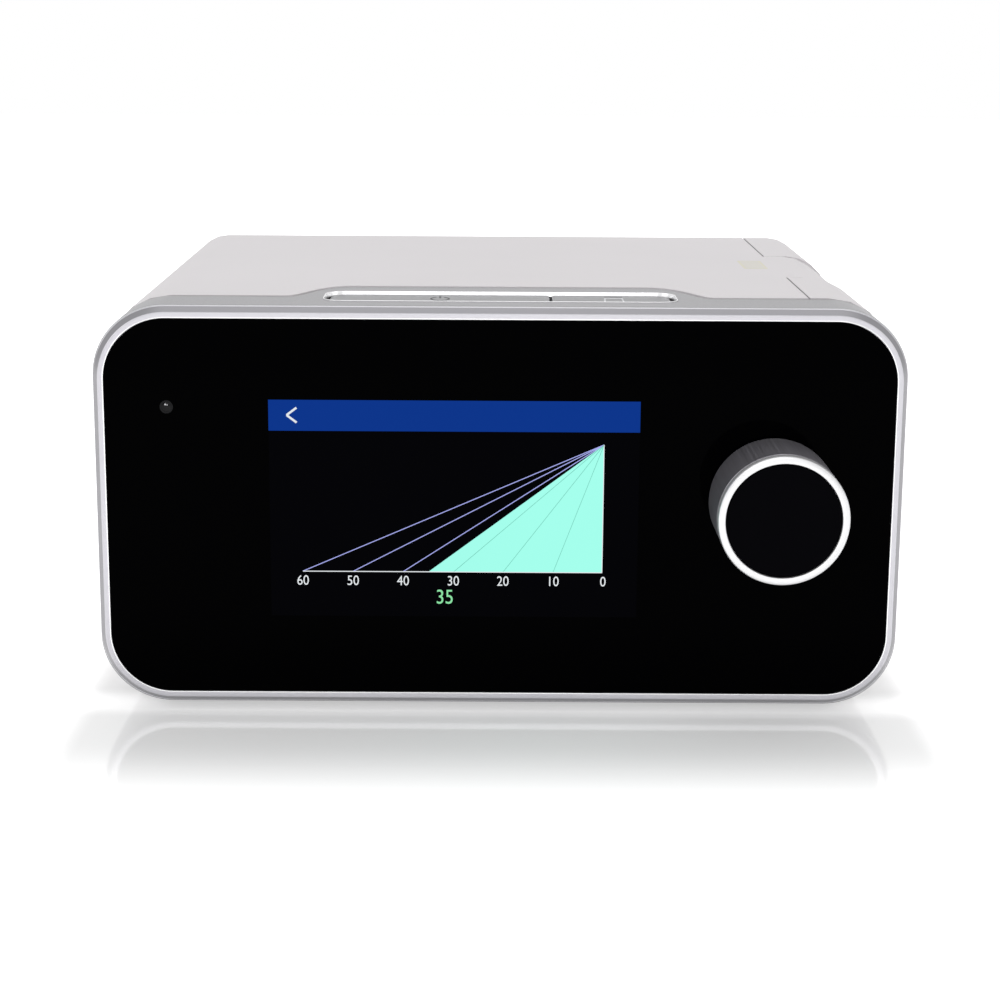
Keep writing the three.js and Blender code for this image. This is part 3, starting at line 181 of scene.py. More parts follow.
def liftAround(tree, v):
    # white glow of the floor, held back close to the machine so that its shadow and mirror image stay; the weaker glow
    # there also paints the floor darker round the machine, partly painted shade. A band along the front edge gets
    # extra glow: painted light that lifts the contact shadow under that edge
    low, high = cadBox
    axes = objectAxes(tree)
    squares = []
    for axis, a, b, steep in (("X", low.x, high.x, v["sideSteep"]), ("Y", low.y, high.y, 1.0)):
        away = mathNode(tree, "ABSOLUTE", mathNode(tree, "SUBTRACT", axes[axis], (a + b) / 2))
        outside = mathNode(tree, "MAXIMUM", mathNode(tree, "SUBTRACT", away, (b - a) / 2), 0.0)
        squares.append(mathNode(tree, "POWER", mathNode(tree, "MULTIPLY", outside, steep), 2.0))
    distance = mathNode(tree, "SQRT", mathNode(tree, "ADD", *squares))
    fromEdge = mathNode(tree, "ABSOLUTE", mathNode(tree, "SUBTRACT", axes["Y"], (glassY + v["edgeY"]) * mm))
    around = mapRange(tree, distance, (0.0, v["liftReach"]), (v["liftNear"], v["liftFar"]), "SMOOTHSTEP")
    # painted light: extra glow in a band under the front edge
    along = mapRange(tree, fromEdge, (0.0, v["edgeReach"]), (v["paintedEdgeLight"], 0.0), "SMOOTHSTEP")
    return mathNode(tree, "ADD", around, along)


def makeStage(v):
    world = bpy.data.worlds.new("studio")
    bpy.context.scene.world = world
    world.use_nodes = True
    tree = world.node_tree
    tree.nodes.clear()
    out = tree.nodes.new("ShaderNodeOutputWorld")
    mix = tree.nodes.new("ShaderNodeMixShader")
    tree.links.new(seenDirectly(tree), mix.inputs["Fac"])
    for index, strength in ((1, v["worldLight"]), (2, v["worldSeen"])):
        sky = tree.nodes.new("ShaderNodeBackground")
        sky.inputs["Color"].default_value = white
        sky.inputs["Strength"].default_value = strength
        tree.links.new(sky.outputs[0], mix.inputs[index])
    tree.links.new(mix.outputs[0], out.inputs["Surface"])

    mesh = bpy.data.meshes.new("studioFloor")
    half = v["size"] / 2
    corners = [(-half, -half, 0), (half, -half, 0), (half, half, 0), (-half, half, 0)]
    mesh.from_pydata(corners, [], [(0, 1, 2, 3)])
    floor = linkObject("studioFloor", mesh)
    material, tree, shader = newMaterial("paleFloor")
    noise = tree.nodes.new("ShaderNodeTexNoise")
    noise.inputs["Scale"].default_value = v["noiseScale"]
    coords = tree.nodes.new("ShaderNodeTexCoord")
    tree.links.new(coords.outputs["Object"], noise.inputs["Vector"])
    ramp = tree.nodes.new("ShaderNodeValToRGB")
    for element, tone in zip(ramp.color_ramp.elements, v["floorTones"]):
        element.color = (tone, tone, tone, 1)
    tree.links.new(noise.outputs["Fac"], ramp.inputs["Fac"])
    tree.links.new(ramp.outputs["Color"], shader.inputs["Base Color"])
    shader.inputs["Roughness"].default_value = v["rough"]
    shader.inputs["Specular IOR Level"].default_value = v["specular"]
    shader.inputs["Emission Color"].default_value = white
    lift = mathNode(tree, "MULTIPLY", seenDirectly(tree), liftAround(tree, v))
    tree.links.new(lift, shader.inputs["Emission Strength"])
    mesh.materials.append(material)


makeStage(stageValues)
print("camera, light and floor made")


# Shared surface effects

surfaceValues = {
    "grainScale": 2600.0, "driftScale": 14.0, "grainDetail": 2.0, "driftDetail": 3.0, "lineDetail": 3.0,
    "lineScale": 1.0, "noiseSpan": (0.3, 0.7), "roughSpan": (0.88, 1.12), "bumpStrength": 0.25,
}


def newGroup(name, inputs, outputs):
    group = bpy.data.node_groups.new(name, "ShaderNodeTree")
    for label, value in inputs:
        socket = group.interface.new_socket(name=label, in_out="INPUT", socket_type="NodeSocketFloat")
        socket.default_value = value
    for label in outputs:
        group.interface.new_socket(name=label, in_out="OUTPUT", socket_type="NodeSocketFloat")
    return group, group.nodes.new("NodeGroupInput"), group.nodes.new("NodeGroupOutput")


def makeMouldGrain(v):
    # fine moulded grain and a slow drift of tone
    group, source, sink = newGroup(
        "mouldGrain", [("Grain Scale", v["grainScale"]), ("Drift Scale", v["driftScale"])], ["Grain", "Drift"])
    coords = group.nodes.new("ShaderNodeTexCoord")
    for index, (label, detail) in enumerate((("Grain Scale", v["grainDetail"]), ("Drift Scale", v["driftDetail"]))):
        noise = group.nodes.new("ShaderNodeTexNoise")
        noise.inputs["Detail"].default_value = detail
        group.links.new(coords.outputs["Object"], noise.inputs["Vector"])
        group.links.new(source.outputs[label], noise.inputs["Scale"])
        group.links.new(noise.outputs["Fac"], sink.inputs[index])
    return group


def makeTurnedLines(v):
    # streaks that run round an axis along Y, from a point in the XZ plane
    group, source, sink = newGroup(
        "turnedLines", [("Centre X", 0.0), ("Centre Z", 0.0), ("Streaks", 60.0), ("Rings", 4000.0)],
        ["Streak", "Ring"])
    axes = objectAxes(group)
    across = mathNode(group, "SUBTRACT", axes["X"], source.outputs["Centre X"])
    up = mathNode(group, "SUBTRACT", axes["Z"], source.outputs["Centre Z"])
    angle = mathNode(group, "ARCTAN2", up, across)
    squares = [mathNode(group, "MULTIPLY", value, value) for value in (across, up)]
    reach = mathNode(group, "SQRT", mathNode(group, "ADD", *squares))
    for index, (value, label) in enumerate(((angle, "Streaks"), (reach, "Rings"))):
        noise = group.nodes.new("ShaderNodeTexNoise")
        noise.noise_dimensions = "1D"
        noise.inputs["Detail"].default_value = v["lineDetail"]
        noise.inputs["Scale"].default_value = v["lineScale"]
        group.links.new(mathNode(group, "MULTIPLY", value, source.outputs[label]), noise.inputs["W"])
        group.links.new(noise.outputs["Fac"], sink.inputs[index])
    return group


mouldGrain = makeMouldGrain(surfaceValues)
turnedLines = makeTurnedLines(surfaceValues)


def spread(tree, value, low, high):
    # the middle of a noise taken to the range from low to high
    return mapRange(tree, value, surfaceValues["noiseSpan"], (low, high))


def toneBetween(tree, value, dark, light):
    node = tree.nodes.new("ShaderNodeMix")
    node.data_type = "RGBA"
    node.inputs["A"].default_value = (*dark, 1)
    node.inputs["B"].default_value = (*light, 1)
    tree.links.new(value, node.inputs["Factor"])
    return node.outputs["Result"]


def depthBand(tree, low, high):
    # 1 where the surface lies between two depths behind the glass face, in mm
    return mathNode(tree, "COMPARE", objectAxes(tree)["Y"], ((low + high) / 2 + glassY) * mm, (high - low) / 2 * mm)


def makeFinish(name, color, rough, metal=0.0, grain=surfaceValues["grainScale"], depth=0.02, drift=0.06,
               specular=0.5, clear=0.0, turned=None, shadeBands=()):
    # depth is the bump's in mm, drift the sway of the tone, the bands are painted darker between two depths: painted
    # shade
    material, tree, shader = newMaterial(name)
    use = tree.nodes.new("ShaderNodeGroup")
    use.node_tree = mouldGrain
    use.inputs["Grain Scale"].default_value = grain
    fine, slow = use.outputs["Grain"], use.outputs["Drift"]
    if turned:
        lines = tree.nodes.new("ShaderNodeGroup")
        lines.node_tree = turnedLines
        for label, key in (("Centre X", "x"), ("Centre Z", "z"), ("Streaks", "streaks"), ("Rings", "rings")):
            lines.inputs[label].default_value = turned[key]
        fine = slow = lines.outputs[turned["use"]]
    dark = tuple(c * (1 - drift) for c in color)
    light = tuple(min(1, c * (1 + drift)) for c in color)
    tone = toneBetween(tree, spread(tree, slow, 0, 1), dark, light)
    for low, high, factor in shadeBands:
        change = tree.nodes.new("ShaderNodeMix")
        change.data_type = "RGBA"
        change.blend_type = "MULTIPLY"
        change.inputs["B"].default_value = (factor, factor, factor, 1)
        tree.links.new(depthBand(tree, low, high), change.inputs["Factor"])
        tree.links.new(tone, change.inputs["A"])
        tone = change.outputs["Result"]
    tree.links.new(tone, shader.inputs["Base Color"])
    smooth, coarse = surfaceValues["roughSpan"]
    tree.links.new(spread(tree, fine, rough * smooth, min(1, rough * coarse)), shader.inputs["Roughness"])
    shader.inputs["Metallic"].default_value = metal
    shader.inputs["Specular IOR Level"].default_value = specular
    shader.inputs["Transmission Weight"].default_value = clear
    if depth:
        bump = tree.nodes.new("ShaderNodeBump")
        bump.inputs["Strength"].default_value = surfaceValues["bumpStrength"]
        bump.inputs["Distance"].default_value = depth * mm
        tree.links.new(fine, bump.inputs["Height"])
        tree.links.new(bump.outputs["Normal"], shader.inputs["Normal"])
    return material


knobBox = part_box("knob_skirt")
knobX = (knobBox[0].x + knobBox[1].x) / 2
knobZ = (knobBox[0].z + knobBox[1].z) / 2
onKnob = {"x": knobX, "z": knobZ, "streaks": 26.0, "rings": 9000.0}

finishes = {
    "black_glass": makeFinish("blackGlass", (0.0003, 0.0003, 0.0005), 0.04, depth=0, drift=0.15, specular=0.005),
    # the bezel's chamfer band, 0.16 to 2.02 mm behind the glass face, is painted darker: painted shade for the dark it
    # mirrors
    "bright_bezel": makeFinish("brightBezel", (0.6, 0.592, 0.63), 0.35, 0.5, depth=0, drift=0.02,
                               shadeBands=((0.16, 2.02, 0.43),)),
    "satin_frame": makeFinish("satinFrame", (0.3, 0.295, 0.31), 0.36, 0.4, depth=0.006, drift=0.03),
    "screen_module": makeFinish("screenModule", (0.03, 0.03, 0.035), 0.34),
    "steel": makeFinish("platedSteel", (0.6, 0.6, 0.61), 0.32, 1.0, grain=900),
    "circuit_board": makeFinish("solderMask", (0.02, 0.13, 0.06), 0.4, grain=700, drift=0.2),
    "dark_plastic": makeFinish("darkPlastic", (0.03, 0.03, 0.035), 0.5, depth=0.03),
    "knob_satin": makeFinish("knobSatin", (0.3, 0.29, 0.32), 0.34, 0.7, depth=0, drift=0.14,
                             turned={**onKnob, "use": "Streak"}),
    "knob_chrome": makeFinish("knobChrome", (0.74, 0.74, 0.75), 0.33, 0.6, depth=0.002, drift=0.02,
                              turned={**onKnob, "use": "Ring"}),
    "knob_black": makeFinish("knobBlack", (0.0007, 0.0006, 0.0014), 0.2, specular=0.012, depth=0.004, drift=0.2),
    "shell_white": makeFinish("shellWhite", (0.755, 0.725, 0.742), 0.48, depth=0.03, drift=0.015),
    "rubber": makeFinish("footRubber", (0.03, 0.03, 0.032), 0.85, depth=0.05, drift=0.15),
    "silicone": makeFinish("softSilicone", (0.55, 0.55, 0.52), 0.6, drift=0.08),
    "filter_foam": makeFinish("filterFoam", (0.22, 0.23, 0.25), 0.95, grain=1100, depth=0.5, drift=0.2),
    "motor_steel": makeFinish("motorSteel", (0.45, 0.45, 0.47), 0.4, 1.0, grain=800),
    "grey_plastic": makeFinish("greyPlastic", (0.3, 0.31, 0.33), 0.5, depth=0.03),
    "heater_aluminium": makeFinish("heaterPlate", (0.7, 0.7, 0.71), 0.34, 1.0, grain=500, drift=0.05),
    "tank_clear": makeFinish("smokyClear", (0.62, 0.74, 0.8), 0.08, depth=0, drift=0.03, clear=0.75),
}

slotOf = {s["node"]: s["material_slot"] for s in frame["record"]["subparts"]}
for name, obj in nodes.items():
    obj.data.materials.clear()
    obj.data.materials.append(finishes[slotOf[name]])
print("finishes made:", len(finishes))


# Mesh helpers

weldGap = 1e-7
sharpLimit = math.radians(28)


def roundedOutline(x0, x1, y0, y1, radii, steps=12):
    # a rectangle with a radius for each corner, counterclockwise from the one at x1 and y1
    points = []
    places = ((x1, y1, -1, -1), (x0, y1, 1, -1), (x0, y0, 1, 1), (x1, y0, -1, 1))
    for quarter, ((x, y, sx, sy), radius) in enumerate(zip(places, radii)):
        for i in range(steps + 1):
            angle = (quarter + i / steps) * pi / 2
            points.append((x + sx * radius + radius * math.cos(angle), y + sy * radius + radius * math.sin(angle)))
    return points


def weldOutward(bm, mesh):
    bmesh.ops.remove_doubles(bm, verts=bm.verts, dist=weldGap)
    bmesh.ops.recalc_face_normals(bm, faces=bm.faces)
    bm.to_mesh(mesh)
    bm.free()


def newObject(name, bm):
    mesh = bpy.data.meshes.new(name)
    weldOutward(bm, mesh)
    return linkObject(name, mesh)


def skin(name, rings, closed=False):
    # rings of (x, y, z) in mm joined in order: capped at both ends, or closed on themselves
    bm = bmesh.new()
    rows = [[bm.verts.new((x * mm, (y + glassY) * mm, z * mm)) for x, y, z in ring] for ring in rings]
    pairs = list(zip(rows, rows[1:]))
    if closed:
        pairs.append((rows[-1], rows[0]))
    count = len(rows[0])
    for a, b in pairs:
        for i in range(count):
            j = (i + 1) % count
            bm.faces.new((a[i], b[i], b[j], a[j]))
    if not closed:
        bm.faces.new(rows[0])
        bm.faces.new(list(reversed(rows[-1])))
    return newObject(name, bm)


def slabs(name, loops, place):
    # outlines as thin slabs: place turns the two numbers of a point into its near and its far corner
    bm = bmesh.new()
    for loop in loops:
        area = sum(a[0] * b[1] - b[0] * a[1] for a, b in zip(loop, loop[1:] + loop[:1]))
        corners = [place(*point) for point in (loop if area > 0 else reversed(loop))]
        near, far = ([bm.verts.new(corner[side]) for corner in corners] for side in (0, 1))
        bm.faces.new(near)
        bm.faces.new(list(reversed(far)))
        for i in range(len(corners)):
            j = (i + 1) % len(corners)
            bm.faces.new((near[j], near[i], far[i], far[j]))
    return newObject(name, bm)


def applyModifiers(obj):
    depsgraph = bpy.context.evaluated_depsgraph_get()
    mesh = bpy.data.meshes.new_from_object(obj.evaluated_get(depsgraph))
    obj.modifiers.clear()
    old = obj.data
    mesh.name = obj.name
    obj.data = mesh
    bpy.data.meshes.remove(old)
    return obj


def combine(obj, other, operation):
    modifier = obj.modifiers.new("shape", "BOOLEAN")
    modifier.operation = operation
    modifier.solver = "EXACT"
    modifier.object = other
    applyModifiers(obj)
    bpy.data.objects.remove(other)
    return obj


def soften(obj, width, segments, limit):
    modifier = obj.modifiers.new("soft", "BEVEL")
    modifier.width = width * mm
    modifier.segments = segments
    modifier.limit_method = "ANGLE"
    modifier.angle_limit = math.radians(limit)
    modifier.use_clamp_overlap = True
    return applyModifiers(obj)


def finishPiece(obj, name, body, slot, replaced=(), finish=""):
    obj.name = name
    obj.data.name = name
    obj.data.materials.clear()
    obj.data.materials.append(finishes[finish or slot])
    obj.data.shade_smooth()
    obj.data.set_sharp_from_angle(angle=sharpLimit)
    even = obj.modifiers.new("even", "WEIGHTED_NORMAL")
    even.keep_sharp = True
    applyModifiers(obj)
    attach(obj, body)
    if replaced:
        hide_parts(*replaced)


# Front: glass, bright bezel and the satin frame with its bulge and button opening

front = {
    # the hump is the bulge behind the buttons, the bar their opening
    "width": 205.4, "height": 103.8, "radius": 18.2, "bottom": 1.6, "steps": 20,
    "glassSide": 3.2, "glassEdge": 3.5, "glassCorner": 2.7, "glassThick": 1.8, "knobHole": 9.6, "glassRound": 0.25,
    "frameNear": 2.5, "frameRear": 19.4, "frameWall": 2.4, "frameRound": 0.3, "frameDrop": 0.25, "ease": 0.3,
    "humpFlat": 76.0, "humpBase": 109.0, "humpReach": 20.5, "heelShare": 0.79, "shoulderShare": 0.64,
    "humpRound": 0.35, "humpSteps": 14, "barWidth": 90.6, "barDepth": 18.4, "barFront": 10.7, "barFlare": 0.4,
    "barEase": 0.35, "barCorner": 5.2, "cutBeyond": 4, "cutAbove": 0.5, "holeSteps": 48,
}
halfFront = front["width"] / 2
top = front["bottom"] + front["height"]
middle = front["bottom"] + front["height"] / 2
frameTop = top - front["frameDrop"]
glassHalf = halfFront - front["glassSide"]
glassHigh = front["height"] / 2 - front["glassEdge"]
glassRadius = front["radius"] - front["glassCorner"]


def glassRing(y, extra):
    outline = roundedOutline(-glassHalf - extra, glassHalf + extra, middle - glassHigh - extra,
                             middle + glassHigh + extra, [glassRadius + extra] * 4, front["steps"])
    return [(x, y, z) for x, z in outline]


def frameRing(y, inset):
    outline = roundedOutline(inset - halfFront, halfFront - inset, front["bottom"] + inset, frameTop - inset,
                             [front["radius"] - inset] * 4, front["steps"])
    return [(x, y, z) for x, z in outline]


def roundBar(x, z, radius, near, far, steps):
    angles = [i / steps * 2 * pi for i in range(steps)]
    ring = [(x + radius * math.cos(a), z + radius * math.sin(a)) for a in angles]
    return skin("cutter", [[(px, y, pz) for px, pz in ring] for y in (near, far)])


def makeGlass(v):
    r, thick, beyond = v["glassRound"], v["glassThick"], v["cutBeyond"]
    rings = [glassRing(0, -r)] + [glassRing(r * (1 - math.cos(a)), -r * (1 - math.sin(a)))
                                  for a in (pi / 6, pi / 3, pi / 2)] + [glassRing(thick, 0)]
    pane = skin("pane", rings)
    hole = roundBar(knobX / mm, knobZ / mm, v["knobHole"] / 2, -beyond, thick + beyond, v["holeSteps"])
    finishPiece(combine(pane, hole, "DIFFERENCE"), "glassPane", "housing", "black_glass", ("front_glass",))


bezelProfile = [
    # growth beyond the glass edge, depth behind the glass face
    (0.15, 2.1), (0.15, 0.35), (0.22, 0.12), (0.38, 0.0), (1.35, 0.0), (1.55, 0.05), (1.72, 0.2),
    (2.95, 2.05), (3.05, 2.2), (0.5, 2.2), (0.5, 8.7), (-2.2, 8.7), (-2.2, 2.1),
]


def makeBezel(profile):
    ring = skin("ring", [glassRing(y, extra) for extra, y in profile], closed=True)
    finishPiece(ring, "bezelRing", "housing", "bright_bezel", ("bezel_ring",))


def humpOutline(grow):
    v = front
    flat, base = v["humpFlat"] / 2 + grow, v["humpBase"] / 2 + grow
    heel, shoulder = flat + (base - flat) * v["heelShare"], flat + (base - flat) * v["shoulderShare"]
    start, far, near = v["frameRear"] + grow, v["frameRear"] + v["humpReach"] + grow, v["frameRear"] - v["frameWall"]
    corners = ((base, start), (heel, start), (shoulder, far), (flat, far))
    right = []
    for i in range(v["humpSteps"] + 1):
        t = i / v["humpSteps"]
        s = 1 - t
        weights = (s**3, 3 * s * s * t, 3 * s * t * t, t**3)
        right.append(tuple(sum(w * value for w, value in zip(weights, axis)) for axis in zip(*corners)))
    left = [(-x, y) for x, y in reversed(right)]
    return [(-base, near), (base, near)] + right + left


def barOutline(grow):
    v = front
    half, near, far = v["barWidth"] / 2 + grow, v["barFront"] - grow, v["barFront"] + v["barDepth"] + grow
    return roundedOutline(-half, half, near, far, [v["barCorner"] + grow] * 4)


def standing(name, layers):
    # outlines in plan stacked from low to high
    return skin(name, [[(x, y, z) for x, y in outline] for z, outline in layers])


def makeFrame(v):
    r, wall, ease, flare, h = v["frameRound"], v["frameWall"], v["ease"], v["barFlare"], v["humpRound"]
    near, far = v["frameNear"], v["frameRear"]
    profile = [(near, wall), (near, r), (near + r * ease, r * ease), (near + r, 0), (far - r, 0),
               (far - r * ease, r * ease), (far, r), (far, wall)]
    band = skin("band", [frameRing(y, inset) for y, inset in profile], closed=True)
    bulge = standing("bulge", [(frameTop - wall, humpOutline(0)), (frameTop - h, humpOutline(0)),
                               (frameTop - h * ease, humpOutline(-h * ease)), (frameTop, humpOutline(-h))])
    combine(band, bulge, "UNION")
    opening = standing("opening", [(top - wall - v["cutBeyond"], barOutline(0)), (frameTop - flare, barOutline(0)),
                                   (frameTop - flare * v["barEase"], barOutline(flare * ease)),
                                   (frameTop, barOutline(flare)), (top + v["cutAbove"], barOutline(flare))])
    combine(band, opening, "DIFFERENCE")
    finishPiece(band, "frontFrame", "housing", "satin_frame", ("front_frame",))


makeGlass(front)
makeBezel(bezelProfile)
makeFrame(front)
print("front made")


# Mouldings: the solids behind the front with broken edges and evenly shaded rounds

mouldings = {
    "topShell": {"of": "top_shell", "edge": 0.18},
    "baseShell": {"of": "base_shell", "edge": 0.18},
    "rearCover": {"of": "rear_cover", "edge": 0.18},
    "sideCover": {"of": "tank_side_cover", "edge": 0.18},
    "outletPort": {"of": "air_outlet_port", "edge": 0.25},
    "filterLid": {"of": "filter_cover", "edge": 0.15},
    "tankTub": {"of": "tank_tub", "edge": 0.2},
    "tankLid": {"of": "tank_lid", "edge": 0.2},
    "tankBay": {"of": "tank_bay", "edge": 0.2},
}
mouldingValues = {"weld": 0.002, "flat": 0.3, "limit": 42, "segments": 2}  # flat and limit in degrees
bodyOf = {node: body for body, members in frame["record"]["behaviour"]["bodies"].items() for node in members}


def makeMoulding(name, spec, v):
    bm = bmesh.new()
    bm.from_mesh(nodes[spec["of"]].data)
    bmesh.ops.remove_doubles(bm, verts=bm.verts, dist=v["weld"] * mm)
    bmesh.ops.dissolve_limit(bm, angle_limit=math.radians(v["flat"]), verts=bm.verts, edges=bm.edges)
    obj = soften(newObject(name, bm), spec["edge"], v["segments"], v["limit"])
    finishPiece(obj, name, bodyOf[spec["of"]], slotOf[spec["of"]], (spec["of"],))


for name, spec in mouldings.items():
    makeMoulding(name, spec, mouldingValues)
print("mouldings made:", len(mouldings))


# Knob: turned skirt, bright ring and dished black face

knobValues = {
    "dia": 32.3, "reach": 24.3, "gap": 1.0, "ring": 1.9, "ringDepth": 2.4, "sink": 0.4, "chamfer": 0.7,
    "wall": 1.6, "hub": 10.0, "shaftFront": 18.0, "shaft": 6.0, "fit": 0.3, "steps": 128, "skirtEase": 0.2,
    # shares of the chamfer, then share of the face's radius against share of the dish's depth
    "outerEase": 0.3, "innerChamfer": 0.4, "innerEase": 0.12,
    "dish": ((0, 1.0), (0.3, 0.85), (0.6, 0.5), (0.85, 0.15)),
}


def lathe(name, profile, steps, axisX=knobX, axisZ=knobZ):
    # profile of (radius, y) turned about an axis along Y, closed on itself or ending on the axis
    bm = bmesh.new()
    turns = [i / steps * 2 * pi for i in range(steps)]
    rows = []
    for radius, y in profile:
        depth = (y + glassY) * mm
        rows.append([bm.verts.new((axisX + radius * mm * math.cos(a), depth, axisZ + radius * mm * math.sin(a)))
                     for a in (turns if radius else turns[:1])])
    pairs = list(zip(rows, rows[1:]))
    if profile[0][0] and profile[-1][0]:
        pairs.append((rows[-1], rows[0]))
    for a, b in pairs:
        for i in range(steps):
            j = (i + 1) % steps
            face = []
            for corner in (a[i % len(a)], b[i % len(b)], b[j % len(b)], a[j % len(a)]):
                if corner not in face:
                    face.append(corner)
            bm.faces.new(face)
    return newObject(name, bm)


def makeKnob(v):
    r, fit, gap, c, hub = v["dia"] / 2, v["fit"], v["gap"], v["chamfer"], v["hub"] / 2
    near = -v["reach"]
    back = near + v["ringDepth"]
    farEnd = back + fit
    web = -v["shaftFront"] - fit
    hole = v["shaft"] / 2 + fit
    ease = v["skirtEase"]
    skirt = [(0, farEnd), (r - ease, farEnd), (r, farEnd + ease), (r, -gap - c), (r - c, -gap), (r - v["wall"], -gap),
             (r - v["wall"], web), (hub, web), (hub, -2 * gap), (hole, -2 * gap), (hole, web), (0, web)]
    finishPiece(lathe("skirt", skirt, v["steps"]), "knobSkirt", "knob", "knob_satin", ("knob_skirt",))
    inner = r - v["ring"]
    outerEase, innerChamfer, innerEase = c * v["outerEase"], c * v["innerChamfer"], c * v["innerEase"]
    ring = [(inner, back), (r, back), (r, near + c), (r - outerEase, near + outerEase), (r - c, near),
            (inner + innerChamfer, near), (inner + innerEase, near + innerEase), (inner, near + innerChamfer)]
    finishPiece(lathe("ring", ring, v["steps"]), "knobRing", "knob", "knob_chrome", ("knob_ring",))
    edge = inner - fit / 2
    dish = v["sink"] / 2
    sunk = near + v["sink"]
    face = [(edge * across, sunk + dish * deep) for across, deep in v["dish"]]
    face += [(edge - dish, sunk), (edge, sunk + dish), (edge, back), (0, back)]
    finishPiece(lathe("face", face, v["steps"]), "knobFace", "knob", "knob_black", ("knob_face",))


makeKnob(knobValues)
print("knob made")


# Screen picture: flat shapes that shine through the glass, a hair in front of it

screenValues = {
    "lift": 0.03, "backLift": 0.4, "textLift": 0.3, "textScale": 0.7, "digitWidth": 0.87,
    "left": -58.3, "right": 35.3, "high": 28.1, "low": -28.1, "headerLow": 20.2,
    "apex": (26.3, 17.0), "baseline": -16.3, "lineStarts": (-50.1, -37.3, -24.5), "fillStart": -18.0,
    "fadedStarts": (-11.6, 1.0, 13.8), "line": 0.21, "fadedShare": 0.6,
    "numbers": ((-50.1, "60"), (-37.3, "50"), (-24.5, "40"), (-11.7, "30"), (1.0, "20"), (13.8, "10"), (26.6, "0")),
    "numberZ": -18.8, "numberHigh": 2.55, "reading": ("35", -13.85, -23.1, 3.75),
    "chevron": ((-51.2, 26.1), (-53.7, 24.2), (-51.2, 22.3)), "chevronLine": 0.55,
}
glowValues = {"dim": 0.97, "base": (0.0004, 0.0004, 0.0006, 1), "specular": 0.004, "rough": 0.04, "strength": 1.0}


def makeGlow(name, color, v=glowValues):
    material, tree, shader = newMaterial(name)
    use = tree.nodes.new("ShaderNodeGroup")
    use.node_tree = mouldGrain
    dark = tuple(c * v["dim"] for c in color)
    tone = toneBetween(tree, spread(tree, use.outputs["Drift"], 0, 1), dark, color)
    tree.links.new(tone, shader.inputs["Emission Color"])
    shader.inputs["Base Color"].default_value = v["base"]
    shader.inputs["Specular IOR Level"].default_value = v["specular"]
    shader.inputs["Roughness"].default_value = v["rough"]
    shader.inputs["Emission Strength"].default_value = v["strength"]
    return material


glow = {
    "header": makeGlow("glowBlue", (0.0035, 0.036, 0.262)),
    "white": makeGlow("glowWhite", (0.80, 0.84, 0.86)),
    "line": makeGlow("glowPeriwinkle", (0.4, 0.43, 0.88)),
    "mint": makeGlow("glowMint", (0.375, 1.0, 0.845)),
    "fadedLine": makeGlow("glowTeal", (0.17, 0.56, 0.45)),
    "green": makeGlow("glowGreen", (0.27, 0.78, 0.38)),
    "dark": makeGlow("glowNight", (0.0006, 0.0006, 0.0012)),
}


def onScreen(obj, material):
    obj.data.materials.clear()
    obj.data.materials.append(glow[material])
    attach(obj, "housing")


def flatShape(name, loops, material, layer):
    # outlines as (x, z) in mm from the glass centre
    lift = screenValues["lift"]
    near, far = (glassY - lift * (layer + 1)) * mm, (glassY - lift * screenValues["backLift"]) * mm

    def place(x, z):
        return (x * mm, near, (middle + z) * mm), (x * mm, far, (middle + z) * mm)

    onScreen(slabs(name, loops, place), material)


def rectangle(x0, x1, z0, z1):
    return [(x0, z0), (x1, z0), (x1, z1), (x0, z1)]


def stroke(a, b, width):
    dx, dz = b[0] - a[0], b[1] - a[1]
    length = math.hypot(dx, dz)
    nx, nz = -dz / length * width / 2, dx / length * width / 2
    return [(a[0] + nx, a[1] + nz), (b[0] + nx, b[1] + nz), (b[0] - nx, b[1] - nz), (a[0] - nx, a[1] - nz)]


def numberShape(name, text, x, z, high, material, layer, v):
    data = bpy.data.curves.new(name, "FONT")
    data.body = text
    data.align_x = "CENTER"
    data.align_y = "CENTER"
    data.size = high / v["textScale"] * mm
    data.extrude = v["lift"] * v["textLift"] * mm
    source = linkObject(name + "Text", data)
    bpy.context.view_layer.update()
    mesh = bpy.data.meshes.new_from_object(source.evaluated_get(bpy.context.evaluated_depsgraph_get()))
    bpy.data.objects.remove(source)
    mesh.transform(Matrix.Diagonal((v["digitWidth"], 1, 1, 1)))
    mesh.transform(Matrix.Rotation(pi / 2, 4, "X"))
    depth = glassY - v["lift"] * (layer + 1)
    mesh.transform(Matrix.Translation((x * mm, depth * mm, (middle + z) * mm)))
    onScreen(linkObject(name, mesh), material)


def makeScreen(v):
    left, right, header = v["left"], v["right"], v["headerLow"]
    flatShape("screenGround", [rectangle(left, right, v["low"], header)], "dark", 0)
    flatShape("screenHeader", [rectangle(left, right, header, v["high"])], "header", 0)
    tip, bend, end = v["chevron"]
    flatShape("screenArrow", [stroke(tip, bend, v["chevronLine"]), stroke(bend, end, v["chevronLine"])], "white", 1)
    base, apex, w = v["baseline"], v["apex"], v["line"]
    foot, start = (apex[0], base), (v["lineStarts"][0], base)
    flatShape("screenWedge", [[(v["fillStart"], base), foot, apex]], "mint", 1)
    flatShape("screenLines", [stroke((x, base), apex, w) for x in v["lineStarts"]], "line", 2)
    flatShape("screenBase", [stroke(start, foot, w), stroke(foot, apex, w)], "white", 3)
    faded = [stroke((x, base), apex, w * v["fadedShare"]) for x in v["fadedStarts"]]
    flatShape("screenFadedLines", faded, "fadedLine", 3)
    for x, text in v["numbers"]:
        numberShape("screenNumber" + text, text, x, v["numberZ"], v["numberHigh"], "white", 1, v)
    text, x, z, high = v["reading"]
    numberShape("screenReading", text, x, z, high, "green", 1, v)


makeScreen(screenValues)
print("screen made")
